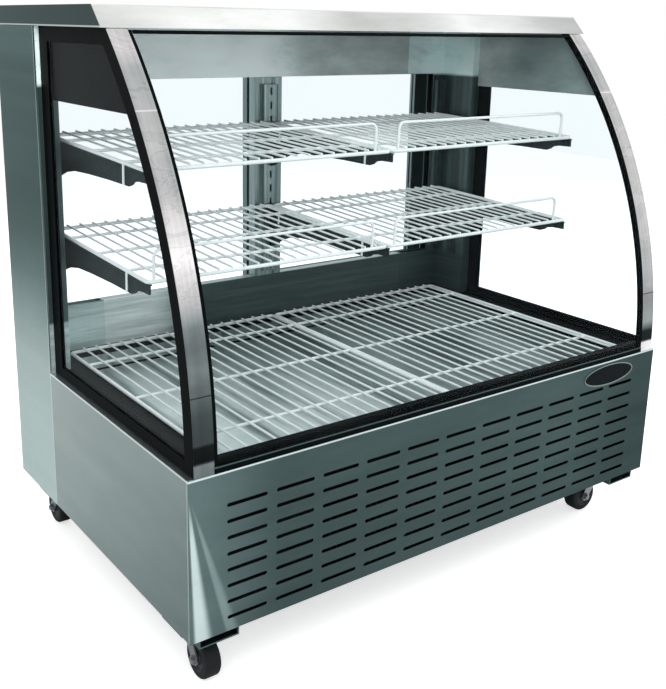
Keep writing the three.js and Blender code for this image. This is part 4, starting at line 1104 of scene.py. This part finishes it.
def frame_wire(name, width, depth):
    """The closed outer wire of a rack, which starts and ends in the middle of the rear side."""
    s = sizes()
    bend = s.rack_corner - s.ring_wire / 2
    x, far, near = (width - s.ring_wire) / 2, s.ring_wire / 2 - depth, -s.ring_wire / 2
    z = s.ring_wire / 2
    up, quarter = (0, 0, 1), math.pi / 2
    ring = wire(name, (0, near, z), (1, 0, 0), s.ring_wire, [
        ("run", (x - bend, 0, 0)), ("bend", (x - bend, near - bend, z), up, -quarter),
        ("run", (0, far - near + 2 * bend, 0)), ("bend", (x - bend, far + bend, z), up, -quarter),
        ("run", (2 * bend - 2 * x, 0, 0)), ("bend", (bend - x, far + bend, z), up, -quarter),
        ("run", (0, near - far - 2 * bend, 0)), ("bend", (bend - x, near - bend, z), up, -quarter),
        ("run", (x - bend, 0, 0))])
    with editing(ring):
        pick_faces(ring, lambda face: len(face.verts) == WIRE_SIDES)
        bpy.ops.mesh.delete(type="ONLY_FACE")
    return ring


def wire_rack(name, width, depth, count, rail_shares):
    """A welded rack: outer wire, cross wires below and thin wires on top. Its rear edge is at y 0."""
    s = sizes()
    half, ring = width / 2, s.ring_wire
    pitch = (width - ring) / (count + 1)
    top = ring + s.thin_wire / 2 - 0.4 * MM
    first = pitch - half + ring / 2
    thin = bar(name + "_thin", (first, ring / 4 - depth, top), (first, -ring / 4, top), s.thin_wire)
    repeat(thin, count, (pitch, 0, 0))
    rails = [bar(f"{name}_cross_{i}", (ring / 2 - half, -depth * share, ring - s.cross_wire / 2),
                 (half - ring / 2, -depth * share, ring - s.cross_wire / 2), s.cross_wire)
             for i, share in enumerate(rail_shares)]
    return joined(name, [frame_wire(name + "_ring", width, depth), thin, *rails])


def shelf_guard(name, width, depth, side_room):
    """The loop of wire that stands on a shelf's front."""
    s = sizes()
    left, right = side_room[0] - width / 2, width / 2 - side_room[1]
    half = s.guard_wire / 2
    bend = s.guard_corner - half
    low, high = s.ring_wire / 2, s.ring_wire + s.guard_height - half
    y = s.ring_wire / 2 - depth
    across, quarter = (0, 1, 0), math.pi / 2
    return wire(name, (left + half, y, low), (0, 0, 1), s.guard_wire, [
        ("run", (0, 0, high - bend - low)),
        ("bend", (left + half + bend, y, high - bend), across, quarter),
        ("run", (right - left - 2 * half - 2 * bend, 0, 0)),
        ("bend", (right - half - bend, y, high - bend), across, quarter),
        ("run", (0, 0, low - high + bend))])


class DELICASE_OT_shelves(CaseOperator, Operator):
    """Weld the four wire shelves with their guards and pegs"""

    bl_idname = "deli_case.shelves"
    bl_label = "Shelves"

    rail_shares = (0.2, 0.5, 0.8)
    guard_room = (12 * MM, 40 * MM)
    gap = 2 * MM
    width = 554 * MM
    depth = 445 * MM
    rear = 285 * MM
    front_height = {"lower": 682 * MM, "upper": 880 * MM}
    peg_length = 38 * MM
    peg_outside = 1.5 * MM
    peg_inside = 6 * MM
    peg_shares = (0.1, 0.82)

    def shelf(self, side):
        s = sizes()
        rack = wire_rack("shelf", self.width, self.depth, s.shelf_wires, self.rail_shares)
        guard = shelf_guard("guard", self.width, self.depth, self.guard_room)
        top = s.ring_wire / 2
        pegs = [bar("peg", (x, -share * self.depth, top), (x, -share * self.depth, top - self.peg_length),
                    s.thin_wire)
                for x in (side * (self.width / 2 + self.peg_outside),
                          side * (self.peg_inside - self.width / 2))
                for share in self.peg_shares]
        return joined("shelf", [rack, guard, *pegs])

    def make(self):
        tilt = math.atan(sizes().shelf_slope)
        rise = self.depth * sizes().shelf_slope
        for hand, side in SIDES.items():
            shelf = self.shelf(side)
            for level, height in self.front_height.items():
                place = Matrix.Translation((side * (self.width + self.gap) / 2, self.rear, height + rise))
                piece = duplicate(shelf, f"{level}_{hand}_wire_shelf",
                                  place @ Matrix.Rotation(tilt, 4, "X"))
                complete(piece, "white_coating", "cabinet", "white_wire", f"{level}_shelf_{hand}")
            bpy.data.objects.remove(shelf)


class DELICASE_OT_deck(CaseOperator, Operator):
    """Weld the two deck racks over the pan and its black frame"""

    bl_idname = "deli_case.deck"
    bl_label = "Deck"

    rail_shares = (0.155, 0.5, 0.845)

    def make(self):
        low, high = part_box("deck_rack_left")
        rack = wire_rack("rack", high.x - low.x, high.y - low.y, sizes().rack_wires, self.rail_shares)
        for hand in SIDES:
            low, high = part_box("deck_rack_" + hand)
            place = Matrix.Translation(((low.x + high.x) / 2, high.y, low.z))
            piece = duplicate(rack, hand + "_deck_rack", place)
            complete(piece, "white_coating", "cabinet", "white_wire", "deck_rack_" + hand)
        bpy.data.objects.remove(rack)
        dress("deck_frame", "deck_black", "black_steel", 0.8 * MM)
        dress("deck_pan", "pan_steel", "inner_steel", 0.5 * MM)
        dress("insulated_tub", "tub_skin_painted_shade", "foam", 1 * MM)


# Casters

CASTERS = ("front_left", "back_left", "front_right", "back_right")


class DELICASE_OT_casters(CaseOperator, Operator):
    """Turn the four wheels and dress their forks"""

    bl_idname = "deli_case.casters"
    bl_label = "Casters"

    bore = 5.3 * MM
    hub_radius = 24 * MM
    dish = 3 * MM
    tread_edge = 1 * MM
    dish_edge = 2.5 * MM
    dish_floor = 12 * MM
    boss = 10.5 * MM
    shoulder = 6 * MM
    shoulder_steps = 5
    wheel_steps = 48
    nut = 6.5 * MM
    nut_height = 3.6 * MM
    nut_place = 8 * MM

    def wheel(self, half, radius):
        """A rubber tread with round shoulders on a dished hub, its axle along X."""
        bend, hub, floor = self.shoulder, self.hub_radius, half - self.dish
        side = [(0, radius)]
        for i in range(self.shoulder_steps + 1):
            turn = math.pi / 2 * i / self.shoulder_steps
            side.append((half - bend + bend * math.sin(turn), radius - bend + bend * math.cos(turn)))
        side += [(half, hub), (half - self.tread_edge, hub - self.tread_edge), (floor, hub - self.dish_edge),
                 (floor, self.dish_floor), (half, self.boss), (half, self.bore)]
        points = side + [(-x, r) for x, r in reversed(side[1:])]
        piece = outline("wheel", [Vector((x, 0, r)) for x, r in points])
        with editing(piece):
            spin((0, 0, 0), (1, 0, 0), math.tau, self.wheel_steps)
            pick_faces(piece, lambda face: len(face.verts) > 4)
            bpy.ops.mesh.delete(type="ONLY_FACE")
        clean(piece)
        return piece

    def make(self):
        for name in CASTERS:
            low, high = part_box(name + "_wheel")
            centre, size = (low + high) / 2, high - low
            along = int(size.x > size.y)
            half = size[along] / 2
            piece = self.wheel(half, size.z / 2)
            piece.name = name + "_caster_wheel"
            piece.data.transform(Matrix.Translation(centre) @ Matrix.Rotation(along * math.pi / 2, 4, "Z"))
            complete(piece, "tyre_rubber", body_of(name + "_wheel"), "tyre", name + "_wheel")
            piece.data.materials.append(FINISH["hub_plastic"])
            for face in piece.data.polygons:
                offset = face.center - centre
                spread = math.hypot(offset.z, offset[1 - along])
                face.material_index = int(spread < self.hub_radius - self.tread_edge / 2)
            dress(name + "_fork", "zinc_plate", "zinc", 0.5 * MM)
            self.nuts(name, centre, along, half)

    def nuts(self, name, centre, along, half):
        """A hexagon nut on the outside of each leg of a fork."""
        made = []
        for way in (-1, 1):
            outward = Vector((0, 0, 0))
            outward[along] = way
            nut = disc("nut", centre + outward * (half + self.nut_place), outward, self.nut, sides=6)
            with editing(nut):
                extrude(outward * self.nut_height)
            clean(nut)
            round_edges(nut, 0.5 * MM)
            made.append(nut)
        complete(joined(name + "_axle_nuts", made), "zinc_plate", body_of(name + "_fork"), "zinc")


# Rear and machine

class DELICASE_OT_doors(CaseOperator, Operator):
    """Dress the sliding rear doors"""

    bl_idname = "deli_case.doors"
    bl_label = "Rear doors"

    def make(self):
        for hand in SIDES:
            dress(hand + "_door_frame", "door_aluminium", "aluminium", 1.2 * MM, segments=3)
            dress(hand + "_door_glass", "clear_glass", "glass", 0.5 * MM)


class DELICASE_OT_controls(CaseOperator, Operator):
    """Dress the control box, thermostat knob and power switch"""

    bl_idname = "deli_case.controls"
    bl_label = "Controls"

    def make(self):
        dress("control_box", "black_trim", "black_steel", 0.8 * MM)
        for node in ("thermostat_knob", "power_switch"):
            dress(node, "knob_plastic", "black_trim", 0.6 * MM, segments=3)


class DELICASE_OT_machine(CaseOperator, Operator):
    """Dress the cooling machine"""

    bl_idname = "deli_case.machine"
    bl_label = "Cooling machine"

    looks = {
        "evaporator_coil": ("fin_aluminium_shaded", "aluminium", 0.0),
        "condenser_coil": ("fin_aluminium_shaded", "aluminium", 0.0),
        "evaporator_motor": ("bracket_paint", "dark_steel", 0.4 * MM),
        "evaporator_fan": ("hub_plastic", "black_trim", 0.3 * MM),
        "condenser_fan": ("hub_plastic", "black_trim", 0.3 * MM),
        "condenser_shroud": ("black_trim", "black_steel", 0.5 * MM),
        "compressor": ("black_trim", "black_steel", 2.5 * MM),
        "suction_line": ("copper_pipe", "copper", 0.0),
    }

    def make(self):
        for node, (finish, slot, width) in self.looks.items():
            dress(node, finish, slot, width)


# Stage

class DELICASE_OT_stage(CaseOperator, Operator):
    """Set the camera, the floor and the studio light"""

    bl_idname = "deli_case.stage"
    bl_label = "Stage"

    camera_place = (-1.28156, -1.64458, 1.13067)
    image_right = (0.8144986, -0.5799221, 0.0168052)
    image_down = (-0.1327852, -0.2145372, -0.9676476)
    forward = (0.5647656, 0.7859161, -0.2517453)
    lens = 50.32
    shift = (0.0406, -0.1009)
    room_light = 0.62
    fade, fade_reach = 0.12, (2.5, 6.5)
    lamps = {
        "key_light": ((-2.2, -2.6, 3.4), 0.5, 70),
        "fill_light": ((2.8, -1.6, 2.4), 0.5, 35),
        "rear_light": ((0.6, 3.0, 2.6), 0.6, 35),
    }
    lamp_size = 2.2

    def camera(self):
        data = bpy.data.cameras.new("case_camera")
        data.lens = self.lens
        data.shift_x, data.shift_y = self.shift
        camera = bpy.data.objects.new("case_camera", data)
        bpy.context.scene.collection.objects.link(camera)
        turn = Matrix((self.image_right, [-v for v in self.image_down], [-v for v in self.forward]))
        camera.matrix_world = Matrix.Translation(self.camera_place) @ turn.transposed().to_4x4()
        bpy.context.scene.camera = camera

    def floor(self):
        """A pale floor that fades a little with distance and shows white to the camera."""
        bpy.ops.object.select_all(action="DESELECT")
        bpy.ops.mesh.primitive_plane_add(size=12, location=(0, 0, -0.2 * MM))
        floor = bpy.context.object
        floor.name = "studio_floor"
        g = new_material("studio_floor")
        soft = g.noise(1.5, detail=2)
        lit = g.principled(Base_Color=g.scaled(tuple(colours().floor), 0.99 + soft * 0.02), Roughness=0.9)
        seen = g.node("ShaderNodeLightPath", out="Is Camera Ray")
        reach = g.node("ShaderNodeVectorMath", {"operation": "LENGTH"}, {0: g.place()}, out="Value")
        glow = g.scaled((1, 1, 1), self.room_light - g.between(reach, *self.fade_reach) * self.fade)
        white = g.node("ShaderNodeEmission", values={"Color": glow})
        both = g.node("ShaderNodeAddShader", values={0: lit, 1: white})
        shown = g.node("ShaderNodeMixShader", values={0: seen, 1: lit, 2: both})
        floor.data.materials.append(g.output(shown))

    def world(self):
        """White where it is seen, mirrored or looked through, and the room's light elsewhere."""
        world = bpy.data.worlds.new("studio")
        bpy.context.scene.world = world
        g = Graph(world)
        camera, mirrored, passed = (g.node("ShaderNodeLightPath", out=f"Is {kind} Ray")
                                    for kind in ("Camera", "Glossy", "Transmission"))
        white = g.larger(g.larger(camera, mirrored), passed)
        strength = self.room_light + white * (1 - self.room_light)
        room = g.node("ShaderNodeBackground", values={"Color": (1, 1, 1, 1), "Strength": strength})
        g.node("ShaderNodeOutputWorld", values={"Surface": room})

    def lamp(self, name, place, aim_height, power):
        data = bpy.data.lights.new(name, "AREA")
        data.size, data.energy = self.lamp_size, power
        lamp = bpy.data.objects.new(name, data)
        lamp.visible_glossy = False
        bpy.context.scene.collection.objects.link(lamp)
        turn = (Vector((0, 0, aim_height)) - Vector(place)).to_track_quat("-Z", "Y").to_matrix().to_4x4()
        lamp.matrix_world = Matrix.Translation(place) @ turn

    def make(self):
        self.camera()
        self.floor()
        self.world()
        for name, (place, aim_height, power) in self.lamps.items():
            self.lamp(name, place, aim_height, power)
        bpy.context.scene.view_settings.view_transform = "Standard"


STEPS = (
    DELICASE_OT_stage,
    DELICASE_OT_base,
    DELICASE_OT_front_panel,
    DELICASE_OT_rear_panel,
    DELICASE_OT_badge,
    DELICASE_OT_front_pane,
    DELICASE_OT_arch_trims,
    DELICASE_OT_side_windows,
    DELICASE_OT_posts,
    DELICASE_OT_lid,
    DELICASE_OT_brackets,
    DELICASE_OT_shelves,
    DELICASE_OT_deck,
    DELICASE_OT_casters,
    DELICASE_OT_doors,
    DELICASE_OT_controls,
    DELICASE_OT_machine,
)


class DELICASE_PT_panel(Panel):
    """Lists the steps that build the case"""

    bl_idname = "DELICASE_PT_panel"
    bl_label = "Display case"
    bl_space_type = "VIEW_3D"
    bl_region_type = "UI"
    bl_category = "Display case"

    def draw(self, context):
        for group in (context.scene.case_sizes, context.scene.case_colours):
            box = self.layout.box()
            for name in group.__annotations__:
                box.prop(group, name)
        for step in STEPS:
            self.layout.operator(step.bl_idname)


KINDS = (CaseSizes, CaseColours, *STEPS, DELICASE_PT_panel)


def register():
    for kind in KINDS:
        bpy.utils.register_class(kind)
    bpy.types.Scene.case_sizes = PointerProperty(type=CaseSizes)
    bpy.types.Scene.case_colours = PointerProperty(type=CaseColours)


def unregister():
    del bpy.types.Scene.case_sizes
    del bpy.types.Scene.case_colours
    for kind in reversed(KINDS):
        bpy.utils.unregister_class(kind)


def main():
    register()
    FINISH.update(finishes())
    for step in STEPS:
        group, name = step.bl_idname.split(".")
        getattr(getattr(bpy.ops, group), name)()


if __name__ == "__main__":
    main()
